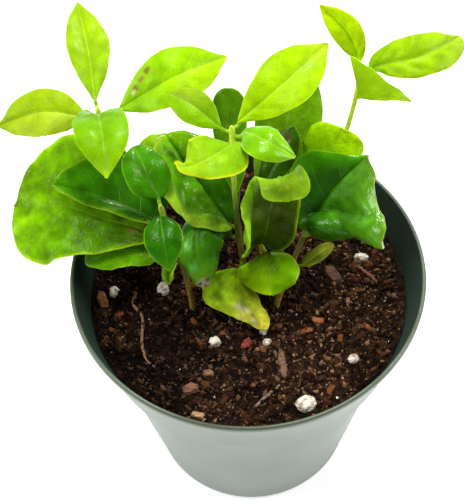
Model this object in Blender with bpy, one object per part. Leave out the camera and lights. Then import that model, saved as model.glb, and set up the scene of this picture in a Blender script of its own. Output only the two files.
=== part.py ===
"""Potted coffee plant: five coffee seedlings crowded into a round nursery pot of peat mix.

Metres, +Z up. The origin is the middle of the pot's flat underside, and the side from which
the plant is usually seen faces -Y. Lengths in this file are millimetres, turned into metres
by MM where a mesh is made, and angles are degrees.
"""

import math

import bmesh
import bpy
import numpy as np
from mathutils import Vector, noise

MM = 0.001
CLEARANCE = 0.3

# Driving dimensions of the pot
POT_HEIGHT = 88.0
RIM_RADIUS = 51.0
BASE_RADIUS = 32.0
WALL = 1.2
FLOOR = 1.6
COLLAR_DEPTH = 21.0
COLLAR_FOOT_RADIUS = 45.6
SHOULDER = 2.2
BODY_TOP_RADIUS = 43.2
LIP_HEIGHT = 1.8
LIP_PROUD = 0.5
FOOT_BEVEL = 1.2
POT_SEGMENTS = 56
DRAIN_HOLES = 6
DRAIN_RADIUS = 2.5
DRAIN_RING = 22.0

# Driving dimensions of the soil
SOIL_LEVEL = 76.5
SOIL_RINGS = 11
SOIL_SEGMENTS = 36
SOIL_RELIEF = 1.5
SOIL_LUMP = 7.0
STEM_DEPTH = 9.0

# Leaf and stem thicknesses
BLADE_HALF = 0.33
RIB_HALF = 0.48
STALK_HALF = 0.55
TIP_HALF = 0.4
NODE_SWELL = 1.35
STEM_SIDES = 8

for old in list(bpy.data.objects):
    bpy.data.objects.remove(old, do_unlink=True)


def make_material(name, rgb, roughness, metallic=0.0):
    """A Principled material of one colour."""
    material = bpy.data.materials.new(name)
    material.use_nodes = True
    shader = material.node_tree.nodes["Principled BSDF"]
    shader.inputs["Base Color"].default_value = (*rgb, 1.0)
    shader.inputs["Roughness"].default_value = roughness
    shader.inputs["Metallic"].default_value = metallic
    return material


PLASTIC = make_material("green_pot_plastic", (0.16, 0.21, 0.17), 0.45)
PEAT = make_material("peat_mix", (0.03, 0.02, 0.013), 0.95)
YOUNG = make_material("young_leaf", (0.35, 0.62, 0.02), 0.35)
MATURE = make_material("mature_leaf", (0.14, 0.36, 0.01), 0.35)
DARK = make_material("shaded_leaf", (0.05, 0.17, 0.01), 0.3)
YELLOWING = make_material("yellowing_leaf", (0.38, 0.42, 0.03), 0.5)
BARK_GREEN = make_material("green_stem", (0.2, 0.28, 0.05), 0.6)
PERLITE = make_material("perlite", (0.75, 0.7, 0.62), 0.9)
BARK = make_material("pine_bark", (0.22, 0.08, 0.03), 0.85)
ROOT = make_material("dry_root", (0.3, 0.18, 0.09), 0.8)


def add_object(name, vertices, faces, material, smooth_angle=40.0):
    """One closed mesh in the scene from points in millimetres, smooth where it is round."""
    mesh = bpy.data.meshes.new(name)
    mesh.from_pydata([tuple(float(c) * MM for c in v) for v in vertices], [], faces)
    mesh.materials.append(material)
    mesh.shade_smooth()
    mesh.set_sharp_from_angle(angle=math.radians(smooth_angle))
    obj = bpy.data.objects.new(name, mesh)
    bpy.context.scene.collection.objects.link(obj)
    return obj


def turned(profile, segments):
    """Points and faces of a closed solid turned about Z from (radius, height) pairs.

    The profile runs from the axis along the underside, up the outside and back to the axis.
    """
    rings = profile[1:-1]
    vertices = [(0.0, 0.0, profile[0][1])]
    for radius, height in rings:
        for k in range(segments):
            angle = 2 * math.pi * k / segments
            vertices.append((radius * math.cos(angle), radius * math.sin(angle), height))
    vertices.append((0.0, 0.0, profile[-1][1]))
    last = len(vertices) - 1
    faces = []
    for k in range(segments):
        after = (k + 1) % segments
        faces.append((0, 1 + after, 1 + k))
        for ring in range(len(rings) - 1):
            low = 1 + ring * segments
            high = low + segments
            faces.append((low + k, low + after, high + after, high + k))
        top = 1 + (len(rings) - 1) * segments
        faces.append((top + k, top + after, last))
    return vertices, faces


# Pot: one thin moulding with a taper, a wider collar under the lip and drain holes

COLLAR_FOOT = POT_HEIGHT - COLLAR_DEPTH
SHOULDER_FOOT = COLLAR_FOOT - SHOULDER


def pot_inner_radius(height):
    """Radius of the pot's inner face at a height, along body, shoulder and collar."""
    heights = [0.0, SHOULDER_FOOT, COLLAR_FOOT, POT_HEIGHT]
    outer = [BASE_RADIUS, BODY_TOP_RADIUS, COLLAR_FOOT_RADIUS, RIM_RADIUS - LIP_PROUD]
    return float(np.interp(height, heights, outer)) - WALL


def build_pot():
    outer = [
        (0.0, 0.0),
        (BASE_RADIUS - FOOT_BEVEL, 0.0),
        (BASE_RADIUS - 0.3 * FOOT_BEVEL, 0.3 * FOOT_BEVEL),
        (BASE_RADIUS + 0.1, FOOT_BEVEL),
        (BODY_TOP_RADIUS, SHOULDER_FOOT),
        (0.5 * (BODY_TOP_RADIUS + COLLAR_FOOT_RADIUS) + 0.3, COLLAR_FOOT - 0.6 * SHOULDER),
        (COLLAR_FOOT_RADIUS, COLLAR_FOOT),
        (RIM_RADIUS - LIP_PROUD, POT_HEIGHT - LIP_HEIGHT),
        (RIM_RADIUS, POT_HEIGHT - LIP_HEIGHT + LIP_PROUD),
        (RIM_RADIUS, POT_HEIGHT - 0.5),
        (RIM_RADIUS - 0.5, POT_HEIGHT),
    ]
    lip_inner = RIM_RADIUS - LIP_PROUD - WALL
    inner = [
        (lip_inner + 0.2, POT_HEIGHT),
        (lip_inner, POT_HEIGHT - 0.3),
        (pot_inner_radius(COLLAR_FOOT), COLLAR_FOOT),
        (pot_inner_radius(SHOULDER_FOOT), SHOULDER_FOOT),
        (pot_inner_radius(FLOOR), FLOOR),
        (0.0, FLOOR),
    ]
    vertices, faces = turned(outer + inner, POT_SEGMENTS)
    pot = add_object("pot", vertices, faces, PLASTIC, 30.0)
    drill = bpy.data.collections.new("pot_cutters")
    bpy.context.scene.collection.children.link(drill)
    for k in range(DRAIN_HOLES):
        angle = 2 * math.pi * (k + 0.5) / DRAIN_HOLES
        at = (DRAIN_RING * math.cos(angle), DRAIN_RING * math.sin(angle), 0.0)
        add_cutter(f"drain_cutter_{k}", at, (at[0], at[1], 2 * FLOOR), DRAIN_RADIUS, drill)
    cut_with(pot, drill)
    return pot


CUTTER_SIDES = 10
CUTTER_TURN = 0.37  # share of a side by which a bar is turned off the other meshes' edges


def add_cutter(name, foot, head, radius, collection):
    """A plain round bar from below foot to head, kept as a guide for a Boolean cut."""
    foot = Vector(foot)
    head = Vector(head)
    axis = (head - foot).normalized()
    foot = foot - axis * FLOOR
    across = axis.cross(Vector((0.0, 1.0, 0.0))).normalized()
    up = axis.cross(across)
    vertices = []
    for end in (foot, head):
        for k in range(CUTTER_SIDES):
            angle = 2 * math.pi * (k + CUTTER_TURN) / CUTTER_SIDES
            vertices.append(end + radius * (math.cos(angle) * across + math.sin(angle) * up))
    faces = [tuple(reversed(range(CUTTER_SIDES))), tuple(range(CUTTER_SIDES, 2 * CUTTER_SIDES))]
    for k in range(CUTTER_SIDES):
        after = (k + 1) % CUTTER_SIDES
        faces.append((k, after, CUTTER_SIDES + after, CUTTER_SIDES + k))
    return keep_as_cutter(add_object(name, vertices, faces, PLASTIC), collection)


def keep_as_cutter(cutter, collection):
    """Hide an object and keep it only for cutting."""
    bpy.context.scene.collection.objects.unlink(cutter)
    collection.objects.link(cutter)
    cutter.hide_render = True
    cutter.display_type = "WIRE"
    return cutter


def cut_with(target, collection):
    """Subtract every object of a collection from the target."""
    cut = target.modifiers.new("cut", "BOOLEAN")
    cut.operation = "DIFFERENCE"
    cut.operand_type = "COLLECTION"
    cut.collection = collection
    cut.solver = "EXACT"


# Smooth curves through a few chosen values


def smooth(values, at):
    """A Catmull-Rom curve through evenly spaced values, read at places from 0 to 1."""
    values = np.asarray(values, float)
    if values.ndim == 0:
        return np.full(len(at), float(values))
    before = 2 * values[:1] - values[1:2]
    beyond = 2 * values[-1:] - values[-2:-1]
    padded = np.concatenate([before, values, beyond])
    place = np.asarray(at) * (len(values) - 1)
    start = np.minimum(place.astype(int), len(values) - 2)
    part = place - start
    if values.ndim == 2:
        part = part[:, None]
    a, b, c, d = (padded[start + k] for k in range(4))
    bend = (2 * a - 5 * b + 4 * c - d) * part ** 2 + (3 * b - a - 3 * c + d) * part ** 3
    return 0.5 * (2 * b + (c - a) * part + bend)


def unit(vectors):
    return vectors / np.linalg.norm(vectors, axis=-1, keepdims=True)


# Stems: each is a slender tapering cane, swollen at the nodes where its leaves join

STEMS = {
    "a": {"path": [(-24, 7, 76), (-31, 21, 100), (-35, 26, 116), (-39, 25, 129)], "radius": (1.1, 0.7),
          "nodes": (104, 128)},
    "b": {"path": [(0, 1, 76), (-2, 6, 92), (-3, 9, 114), (-3, 12, 135)], "radius": (1.0, 0.7),
          "nodes": (96, 134)},
    "c": {"path": [(7, -7, 76), (15, 5, 92), (29, 28, 114), (32, 31, 135)], "radius": (1.0, 0.7),
          "nodes": (98, 134)},
    "d": {"path": [(4, 10, 76), (3, 11, 88), (3, 12, 98), (3, 14, 108)], "radius": (1.0, 0.8),
          "nodes": (94, 107)},
    "s": {"path": [(-16, -6, 76), (-18, 0, 88), (-21, 3, 100), (-23, 4, 113)], "radius": (1.0, 0.7),
          "nodes": (100, 112)},
}
NODE_LENGTH = 2.0
BUD_LENGTH = 2.6


def stem_axis(stem, height):
    """Place of a stem's axis at a height."""
    path = np.array(STEMS[stem]["path"], float)
    samples = smooth(path, np.linspace(0, 1, 60))
    return np.array([np.interp(height, samples[:, 2], samples[:, k]) for k in range(3)])


def stem_radius(stem, height):
    """Radius of a stem at a height, swollen about each node."""
    low, high = STEMS[stem]["radius"]
    path = STEMS[stem]["path"]
    radius = float(np.interp(height, [path[0][2], path[-1][2]], [low, high]))
    swell = max(math.exp(-(((height - node) / NODE_LENGTH) ** 2)) for node in STEMS[stem]["nodes"])
    return radius * (1 + (NODE_SWELL - 1) * swell)


def build_stem(stem):
    """A stem from its foot in the soil to the pointed bud at its top."""
    top = STEMS[stem]["path"][-1][2]
    foot = SOIL_LEVEL - STEM_DEPTH
    heights = [foot, SOIL_LEVEL]
    heights += list(np.linspace(SOIL_LEVEL + 6, top - 3, 6))
    for node in STEMS[stem]["nodes"]:
        heights += [node - NODE_LENGTH, node, node + NODE_LENGTH]
    heights = sorted(h for h in set(heights) if h <= top - 0.5) + [top]
    foot_axis = stem_axis(stem, SOIL_LEVEL)
    vertices = []
    for height in heights:
        centre = stem_axis(stem, max(height, SOIL_LEVEL))
        if height < SOIL_LEVEL:
            centre = foot_axis
        radius = stem_radius(stem, height)
        for k in range(STEM_SIDES):
            angle = 2 * math.pi * k / STEM_SIDES
            vertices.append((centre[0] + radius * math.cos(angle),
                             centre[1] + radius * math.sin(angle), height))
    tip = stem_axis(stem, top)
    vertices.append((tip[0], tip[1], top + BUD_LENGTH))
    faces = [tuple(reversed(range(STEM_SIDES)))]
    rings = len(heights)
    for ring in range(rings - 1):
        for k in range(STEM_SIDES):
            after = (k + 1) % STEM_SIDES
            low = ring * STEM_SIDES
            high = low + STEM_SIDES
            faces.append((low + k, low + after, high + after, high + k))
    last = (rings - 1) * STEM_SIDES
    for k in range(STEM_SIDES):
        faces.append((last + k, last + (k + 1) % STEM_SIDES, len(vertices) - 1))
    return add_object(f"stem_{stem}", vertices, faces, BARK_GREEN)


# Leaves: outlines as half widths at even steps of a half circle, from stalk to tip

LANCE = (0.0, 0.25, 0.74, 1.0, 0.74, 0.24, 0.0)
EGG = (0.0, 0.45, 0.92, 1.0, 0.7, 0.22, 0.0)
OVAL = (0.0, 0.6, 0.97, 1.0, 0.82, 0.42, 0.0)
ROUND = (0.0, 0.5, 0.87, 1.0, 0.87, 0.5, 0.0)
CORDATE = (0.42, 0.62, 0.82, 0.97, 1.0, 0.88, 0.47, 0.15, 0.0)
BLUNT = (0.0, 0.3, 0.7, 0.95, 1.0, 0.8, 0.2)
LOBE_SHARE = 0.22  # share of a leaf's length over which its base lobes reach back
LOBE_PLACE = 0.5  # place along a leaf whose direction its base lobes follow
STALK_ROWS = 3
STALK_LENGTH = 2.0
STALK_GAP = CLEARANCE + 0.15
STALK_START = 1.2  # straight start of a stalk beside its stem
STALK_RISE = 0.3  # share of the first rise that a stalk takes at its stem
NARROW = 3.0  # half width below which a blade folds and bends less


def leaf_surface(spec, rows, columns):
    """Middle surface of a leaf as a grid, from its left edge over the midrib to its right edge.

    The midrib runs from the stem through the points of the spec. Each half of the blade leaves
    it at the angle fold and bends by the angle curl on its way to the edge, up where positive.
    """
    start = stem_axis(spec["stem"], spec["height"])
    path = [np.array(p, float) for p in spec["path"]]
    out = path[0] - start
    out[2] *= STALK_RISE
    off = stem_radius(spec["stem"], spec["height"]) + STALK_GAP
    out = unit(out)
    path = np.array([start + off * out, start + (off + STALK_START) * out] + path)
    fine = smooth(path, np.linspace(0, 1, 200))
    walked = np.concatenate([[0.0], np.cumsum(np.linalg.norm(np.diff(fine, axis=0), axis=1))])
    stalk = spec.get("stalk", STALK_LENGTH)
    along = (1 - np.cos(np.linspace(0, math.pi, rows))) / 2
    stations = stalk + along * (walked[-1] - stalk)
    stations = np.concatenate([np.linspace(0, stalk, STALK_ROWS)[:-1], stations])
    place = np.clip(np.linspace(1 - len(stations) / rows, 1, len(stations)), 0, 1)
    place[-rows:] = np.linspace(0, 1, rows)
    rib = np.stack([np.interp(stations, walked, fine[:, k]) for k in range(3)], 1)
    tangent = unit(np.gradient(rib, stations, axis=0))
    face = np.array(spec.get("face", (0, 0, 1)), float)
    normal = unit(face - (tangent @ face)[:, None] * tangent)
    if "rolled" in spec:
        first = spec["rolled"]
        for i in list(range(first + 1, len(normal))) + list(range(first - 1, -1, -1)):
            last = i - 1 if i > first else i + 1
            bisector = tangent[i] + tangent[last]
            slip = (normal[last] @ tangent[i]) / (1 + tangent[i] @ tangent[last])
            normal[i] = unit(normal[last] - slip * bisector)
    side = np.cross(tangent, normal)
    turn = np.radians(smooth(spec.get("turn", 0.0), place))[:, None]
    side, normal = (side * np.cos(turn) + normal * np.sin(turn),
                    normal * np.cos(turn) - side * np.sin(turn))
    half = np.linspace(0, 1, columns + 1)[1:]
    lobe = spec.get("lobe", 0.0) * np.exp(-(place / LOBE_SHARE) ** 2)
    lobe[:STALK_ROWS - 1] = 0.0
    backwards = -tangent[STALK_ROWS - 1 + round(LOBE_PLACE * (rows - 1))]
    grid = np.zeros((len(stations), 2 * columns + 1, 3))
    grid[:, columns] = rib
    amount, count, phase = spec.get("wave", (0.0, 2.0, 0.0))
    for hand, key in ((-1, "left"), (1, "right")):
        width, outline, fold, curl = spec[key]
        reach = width * smooth(outline, place)
        reach = np.maximum(reach, TIP_HALF)
        reach[:STALK_ROWS - 1] = STALK_HALF
        reach[STALK_ROWS - 1] = max(reach[STALK_ROWS - 1], STALK_HALF)
        fold = np.radians(smooth(fold, place)) * np.minimum(1, reach / NARROW)
        curl = np.radians(smooth(curl, place)) * np.minimum(1, reach / NARROW)
        curl = np.where(np.abs(curl) < 0.01, 0.01, curl)
        for k, v in enumerate(half):
            sideways = reach * (np.sin(fold + curl * v) - np.sin(fold)) / curl
            upwards = reach * (np.cos(fold) - np.cos(fold + curl * v)) / curl
            ripple = np.sin(2 * math.pi * (count * place + phase + 0.3 * hand))
            upwards = upwards + amount * ripple * v ** 2 * reach / max(width, 1e-3)
            column = columns + hand * (k + 1)
            grid[:, column] = rib + hand * sideways[:, None] * side + upwards[:, None] * normal
            grid[:, column] += lobe[:, None] * v ** 2 * backwards
    return grid


def leaf_solid(grid):
    """Give a leaf's middle surface its thickness, with both faces split alike."""
    rows, columns = grid.shape[:2]
    middle = columns // 2
    across = np.gradient(grid, axis=1)
    lengthwise = np.gradient(grid, axis=0)
    normal = unit(np.cross(across, lengthwise))
    half = np.full((rows, columns), BLADE_HALF)
    half[:, middle] = RIB_HALF
    half[:STALK_ROWS] = STALK_HALF
    half = half[:, :, None]
    upper = (grid + normal * half).reshape(-1, 3)
    lower = (grid - normal * half).reshape(-1, 3)
    count = rows * columns
    faces = []
    for i in range(rows - 1):
        for j in range(columns - 1):
            a = i * columns + j
            b, c, d = a + 1, a + columns + 1, a + columns
            faces += [(a, b, c), (a, c, d)]
            faces += [(count + a, count + c, count + b), (count + a, count + d, count + c)]
    loop = list(range(columns))
    loop += [i * columns + columns - 1 for i in range(1, rows)]
    loop += [(rows - 1) * columns + j for j in range(columns - 2, -1, -1)]
    loop += [i * columns for i in range(rows - 2, 0, -1)]
    for k, a in enumerate(loop):
        b = loop[(k + 1) % len(loop)]
        faces.append((a, count + a, count + b, b))
    return np.concatenate([upper, lower]), faces


# Every leaf: the stem and height it grows from, its midrib's points, and for each half of the
# blade its width, outline, fold and curl

LEAVES = {
    # Tall seedling at the left: four young leaves about its top and one seed leaf below
    "leaf_a_rear": {
        "stem": "a", "height": 129, "path": [(-40, 29, 131), (-42, 43, 134), (-46, 62, 134)],
        "left": (5.8, LANCE, 14, -10), "right": (6.2, LANCE, 10, -12),
        "face": (0.1, -0.2, 1), "material": YOUNG, "stalk": 2.5, "wave": (0.4, 2, 0.1)},
    "leaf_a_left": {
        "stem": "a", "height": 127.5, "path": [(-43, 25, 127), (-54, 25.3, 129), (-67, 25.3, 124)],
        "left": (7.2, LANCE, 8, -14), "right": (7.2, LANCE, 12, -14),
        "face": (0, -0.3, 1), "material": YOUNG, "wave": (0.4, 2, 0.4)},
    "leaf_a_front": {
        "stem": "a", "height": 127.5, "path": [(-38, 19, 134), (-36, 8, 138), (-35, -2, 134)],
        "left": (7.2, CORDATE, 15, -20), "right": (7.2, CORDATE, 10, -18), "lobe": 3.4, "stalk": 4.0,
        "face": (0, 0.2, 1), "material": YOUNG, "wave": (0.3, 2, 0.0)},
    "leaf_a_right": {
        "stem": "a", "height": 127, "path": [(-32, 26.4, 129), (-18, 29, 137), (-4, 39, 134)],
        "left": (8.6, LANCE, 8, -10), "right": (7.6, LANCE, 12, -16),
        "face": (0, -0.4, 1), "material": YOUNG, "stalk": 4.0, "wave": (0.6, 2, 0.2)},
    "seed_leaf_a": {
        "stem": "a", "height": 104, "path": [(-28, 24, 105), (-26, 29, 106), (-21, 35, 107)],
        "left": (6.0, ROUND, 0, -20), "right": (6.0, ROUND, 0, -20), "material": MATURE,
        "wave": (0.8, 2, 0.3)},
    # Middle seedling: four young leaves at its top, three seed leaves and an old one below
    "leaf_b_left": {
        "stem": "b", "height": 134, "path": [(-7, 13, 136), (-13, 17, 139), (-20, 23, 138)],
        "left": (4.8, LANCE, 10, -20), "right": (4.6, LANCE, 14, -10),
        "face": (-0.1, -0.3, 1), "material": YOUNG, "wave": (0.3, 2, 0.1)},
    "leaf_b_big": {
        "stem": "b", "height": 135, "path": [(0, 14, 137), (10, 20, 142), (23, 34, 143)],
        "left": (7.8, LANCE, 10, -8), "right": (7.4, LANCE, 12, -12),
        "face": (-0.1, -0.5, 1), "material": YOUNG, "wave": (0.5, 2, 0.3)},
    "leaf_b_right": {
        "stem": "b", "height": 133, "path": [(1, 10, 136), (6, 4, 139), (13, 2, 135)],
        "left": (5.2, LANCE, 6, -24), "right": (5.6, LANCE, 6, -34),
        "face": (0, -0.1, 1), "material": YOUNG, "wave": (0.3, 2, 0.0)},
    "leaf_b_front": {
        "stem": "b", "height": 132.5, "rows": 13, "lobe": 0.8,
        "path": [(-4, 5.7, 135.5), (-9.1, -0.3, 138), (-12.9, -1.9, 137.5), (-15.4, -1.9, 137.3),
                 (-17.5, 0.2, 136.8)],
        "left": (6.6, (0.15, 0.45, 1.1, 1.15, 0.5, 0.12, 0), 8, -20),
        "right": (7.6, (0, 0.25, 0.45, 0.68, 0.88, 1, 1.04, 1.02, 0.8, 0.2, 0.1, 0.1, 0), 10, -20),
        "face": (0, -0.1, 1), "material": YOUNG, "wave": (0.4, 2, 0.2)},
    "seed_leaf_b_left": {
        "stem": "b", "height": 98, "path": [(-6, 9, 101), (-13, 17, 107), (-22, 29, 114)],
        "left": (13.5, ROUND, 30, -20), "right": (10, ROUND, 30, -20), "material": DARK,
        "rows": 12, "columns": 3, "wave": (0.8, 3, 0.0)},
    "seed_leaf_b_front": {
        "stem": "b", "height": 94, "path": [(-7, 8, 99), (-13, 5, 103), (-14, -2, 101), (-12, -9, 93)],
        "left": (8.0, ROUND, 10, -60), "right": (5.8, ROUND, 10, -70), "material": DARK,
        "rows": 12, "columns": 3, "wave": (0.5, 2, 0.2)},
    "seed_leaf_b_rear": {
        "stem": "b", "height": 108, "path": [(-3, 17, 112), (-4, 26, 119), (-4, 34, 127)],
        "left": (4.5, BLUNT, 10, -10), "right": (5, BLUNT, 10, -10), "material": DARK,
        "wave": (0.5, 2, 0.0)},
    "old_leaf_b": {
        "stem": "b", "height": 86.5, "path": [(-3, -4, 86.5), (-1, -8, 83), (5, -15, 79.3)],
        "left": (4.5, ROUND, 0, -20), "right": (11.5, (0, 0.7, 1, 0.6, 0.3, 0.15, 0), 0, -20),
        "material": YELLOWING, "rows": 11, "wave": (0.7, 3, 0.0)},
    # Tall seedling at the right: three young leaves, two large seed leaves and an old one
    "leaf_c_rear": {
        "stem": "c", "height": 135, "path": [(31, 33, 139), (28, 36, 145), (21, 41, 150)],
        "left": (4.0, LANCE, 25, -10), "right": (4.8, LANCE, 25, -10),
        "face": (-0.4, -0.7, 0.7), "material": YOUNG},
    "leaf_c_right": {
        "stem": "c", "height": 134, "path": [(37, 30, 138), (47, 29, 142), (59, 38, 140)],
        "left": (6.4, EGG, 14, -14), "right": (6.0, (0, 0.15, 0.68, 0.95, 0.95, 0.6, 0), 8, -14),
        "face": (0, -0.4, 1), "material": YOUNG, "wave": (0.4, 2, 0.2)},
    "leaf_c_front": {
        "stem": "c", "height": 130, "stalk": 3.6, "lobe": 2.0,
        "path": [(31.4, 26.6, 130.1), (34, 25.6, 130.6), (37.4, 25.2, 131.2), (41.2, 25, 131.2),
                 (45.5, 25.4, 128.7)],
        "left": (13.6, (1, 0.97, 0.76, 0.34, 0.12, 0.05, 0.02), 0, 5), "right": (1.2, LANCE, 30, 0),
        "face": (0, -0.98, 0.2), "material": YOUNG},
    "seed_leaf_c_front": {
        "stem": "c", "height": 94, "stalk": 4.5,
        "path": [(18, 6, 99), (21, 9, 104), (25, 12, 110), (32, 15.4, 118)],
        "left": (13, (0, 0.3, 0.55, 0.8, 0.95, 1, 0.98, 0.88, 0.56, 0.28, 0.12, 0.05, 0), 40, -5),
        "right": (21, (0, 0.42, 0.65, 0.75, 0.82, 0.93, 1.04, 1.12, 1.12, 0.74, 0.5, 0.42, 0.36),
                  (20, 30, 30), (-130, -130, -115, -85, -60, -40, -30)),
        "material": MATURE, "rows": 16, "columns": 4, "wave": (0.6, 2, 0.2)},
    "seed_leaf_c_rear": {
        "stem": "c", "height": 101, "path": [(18, 18, 105), (23, 20, 112), (27, 24, 120.5)],
        "left": (8.3, BLUNT, 0, -10), "right": (8.5, BLUNT, 0, -10), "stalk": 4.0,
        "face": (0, -0.7, 0.7), "material": MATURE, "wave": (0.5, 2, 0.2)},
    "old_leaf_c": {
        "stem": "c", "height": 87.5, "path": [(16, 1, 88), (21, 5, 88), (25, 9, 87)],
        "left": (2.6, ROUND, 0, -20), "right": (2.2, ROUND, 0, -20), "material": YELLOWING},
    # Small seedling among them that carries only broad seed leaves
    "seed_leaf_d_curled": {
        "stem": "d", "height": 92, "rolled": 6, "stalk": 5.0,
        "path": [(4.2, 4.6, 94.5), (5.8, 4, 103), (7.8, 7, 113.5), (9.2, 7.6, 119.5),
                 (10.6, 4.0, 120.8), (11.0, 1.6, 117.4)],
        "left": (13, (0, 0.62, 0.95, 1, 0.55, 0.5, 0), 0, (70, 90, 105, 90, -30, -40, -30)),
        "right": (8, (0, 0.7, 1, 1, 0.8, 0.8, 0), 0, (60, 60, 50, 30, -40, -40, -30)),
        "turn": (0, 0, 0, 0, -20, -45, -45), "face": (0, -1, 0.1), "material": MATURE,
        "rows": 17, "columns": 4, "wave": (0.4, 2, 0.2)},
    "seed_leaf_d_front": {
        "stem": "d", "height": 88.5, "path": [(5.4, 3, 91.4), (6.2, -3, 90.6), (6.6, -8, 86.4)],
        "stalk": 7.5,
        "left": (8.8, (0, 0.6, 0.95, 1, 0.85, 0.45, 0), 0, -20),
        "right": (9.0, (0, 0.5, 0.9, 1, 0.82, 0.42, 0), 0, -20),
        "material": MATURE, "rows": 11, "columns": 3, "wave": (0.8, 2, 0.2)},
    "seed_leaf_d_rear": {
        "stem": "d", "height": 102, "path": [(8, 22, 108), (13, 34, 117), (12, 45, 127)],
        "left": (9, (0, 0.3, 0.7, 1, 0.95, 0.6, 0), 5, -20),
        "right": (9.5, (0, 0.2, 0.6, 1, 0.95, 0.6, 0), 5, -20), "face": (0, -0.3, 1),
        "material": MATURE, "rows": 11, "wave": (0.6, 2, 0.2)},
    "seed_leaf_d_side": {
        "stem": "d", "height": 106, "path": [(7, 17, 110), (11, 22, 115), (14, 27, 118)],
        "left": (4.6, ROUND, 5, -20), "right": (4.6, ROUND, 5, -20), "face": (0, -0.3, 1),
        "material": DARK, "wave": (0.6, 2, 0.2)},
    # Short seedling at the front left: two dark leaves, a rolled one and three seed leaves
    "leaf_s_rear": {
        "stem": "s", "height": 113, "path": [(-24, 8, 115), (-27, 13, 118.5), (-30, 21, 119)],
        "left": (6.2, OVAL, 12, -12), "right": (6.0, OVAL, 12, -12),
        "face": (0, -0.2, 1), "material": DARK, "wave": (0.3, 2, 0.1)},
    "leaf_s_front": {
        "stem": "s", "height": 111.5, "path": [(-23, 0, 113), (-22, -7, 112), (-21, -12, 106)],
        "left": (5.2, EGG, 6, -20), "right": (5.2, EGG, 6, -20),
        "material": DARK, "wave": (0.3, 2, 0.1)},
    "leaf_s_rolled": {
        "stem": "s", "height": 94, "path": [(-21, -4, 96), (-22, -7, 97), (-22, -9, 95)],
        "left": (3, LANCE, 20, 80), "right": (3, LANCE, 20, 80), "material": MATURE},
    "seed_leaf_s_large": {
        "stem": "s", "height": 98, "path": [(-30, 6, 101), (-40, 9, 102), (-51, 13, 103), (-66, 16, 100)],
        "left": (18, (0, 0.15, 0.42, 0.8, 1, 0.68, 0), -8, -6),
        "right": (21, (0, 0.2, 0.45, 0.85, 1, 0.5, 0), 12, 0),
        "material": MATURE, "rows": 14, "columns": 4, "wave": (1.0, 3, 0.2)},
    "seed_leaf_s_folded": {
        "stem": "s", "height": 104, "path": [(-29, 8, 106), (-40, 13, 107), (-53, 14, 112)],
        "left": (4, ROUND, 0, -10), "right": (14, (0, 0.6, 1, 0.95, 0.7, 0.35, 0), 25, 5),
        "material": DARK, "rows": 12, "columns": 3, "wave": (0.4, 3, 0.2)},
    "seed_leaf_s_low": {
        "stem": "s", "height": 94, "path": [(-27, 3, 95), (-38, 2, 96), (-46, 1, 93)],
        "left": (5.5, ROUND, 0, -20), "right": (7, ROUND, 0, -10), "material": MATURE,
        "rows": 10, "wave": (0.8, 3, 0.1)},
}
LEAF_ROWS = 9
LEAF_COLUMNS = 2


def build_leaf(name):
    spec = LEAVES[name]
    rows = spec.get("rows", LEAF_ROWS)
    columns = spec.get("columns", LEAF_COLUMNS)
    vertices, faces = leaf_solid(leaf_surface(spec, rows, columns))
    return add_object(name, vertices, faces, spec["material"], 60.0)


# Soil: a filling that follows the pot's inner face, with a lumpy top and plain holes for stems


def soil_height(x, y):
    """Height of the soil's lumpy top, level at its edge where it meets the pot."""
    reach = math.hypot(x, y) / pot_inner_radius(SOIL_LEVEL)
    lumps = noise.noise(Vector((x / SOIL_LUMP, y / SOIL_LUMP, 0.0)))
    lumps += 0.5 * noise.noise(Vector((2 * x / SOIL_LUMP, 2 * y / SOIL_LUMP, 5.0)))
    return SOIL_LEVEL + SOIL_RELIEF * lumps * min(1.0, 4 * (1.0 - reach)) - 0.5 * reach ** 4


def build_soil():
    floor = FLOOR + CLEARANCE
    side = [(pot_inner_radius(h) - CLEARANCE, h) for h in
            (floor, SHOULDER_FOOT, COLLAR_FOOT, SOIL_LEVEL - 1.5)]
    vertices, faces = turned([(0.0, floor)] + side + [(0.0, 0.0)], SOIL_SEGMENTS)
    vertices.pop()
    faces = [face for face in faces if max(face) < len(vertices)]
    edge = len(vertices) - SOIL_SEGMENTS
    outer = side[-1][0]
    ring = edge
    for step in range(1, SOIL_RINGS):
        radius = outer * (1 - step / SOIL_RINGS)
        start = len(vertices)
        for k in range(SOIL_SEGMENTS):
            angle = 2 * math.pi * k / SOIL_SEGMENTS
            x, y = radius * math.cos(angle), radius * math.sin(angle)
            vertices.append((x, y, soil_height(x, y)))
        for k in range(SOIL_SEGMENTS):
            after = (k + 1) % SOIL_SEGMENTS
            faces.append((ring + k, ring + after, start + after))
            faces.append((ring + k, start + after, start + k))
        ring = start
    vertices.append((0.0, 0.0, soil_height(0.0, 0.0)))
    for k in range(SOIL_SEGMENTS):
        faces.append((ring + k, ring + (k + 1) % SOIL_SEGMENTS, len(vertices) - 1))
    soil = add_object("soil", vertices, faces, PEAT)
    holes = bpy.data.collections.new("soil_cutters")
    bpy.context.scene.collection.children.link(holes)
    for stem in STEMS:
        foot = stem_axis(stem, SOIL_LEVEL)
        radius = STEMS[stem]["radius"][0] + CLEARANCE
        bottom = (foot[0], foot[1], SOIL_LEVEL - STEM_DEPTH + FLOOR - CLEARANCE)
        top = (foot[0], foot[1], SOIL_LEVEL + 2 * SOIL_RELIEF)
        add_cutter(f"hole_{stem}", bottom, top, radius / math.cos(math.pi / CUTTER_SIDES) + 0.1, holes)
    return soil, holes


# Grains of perlite, chips of bark and dry roots that lie half sunk in the soil

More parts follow.
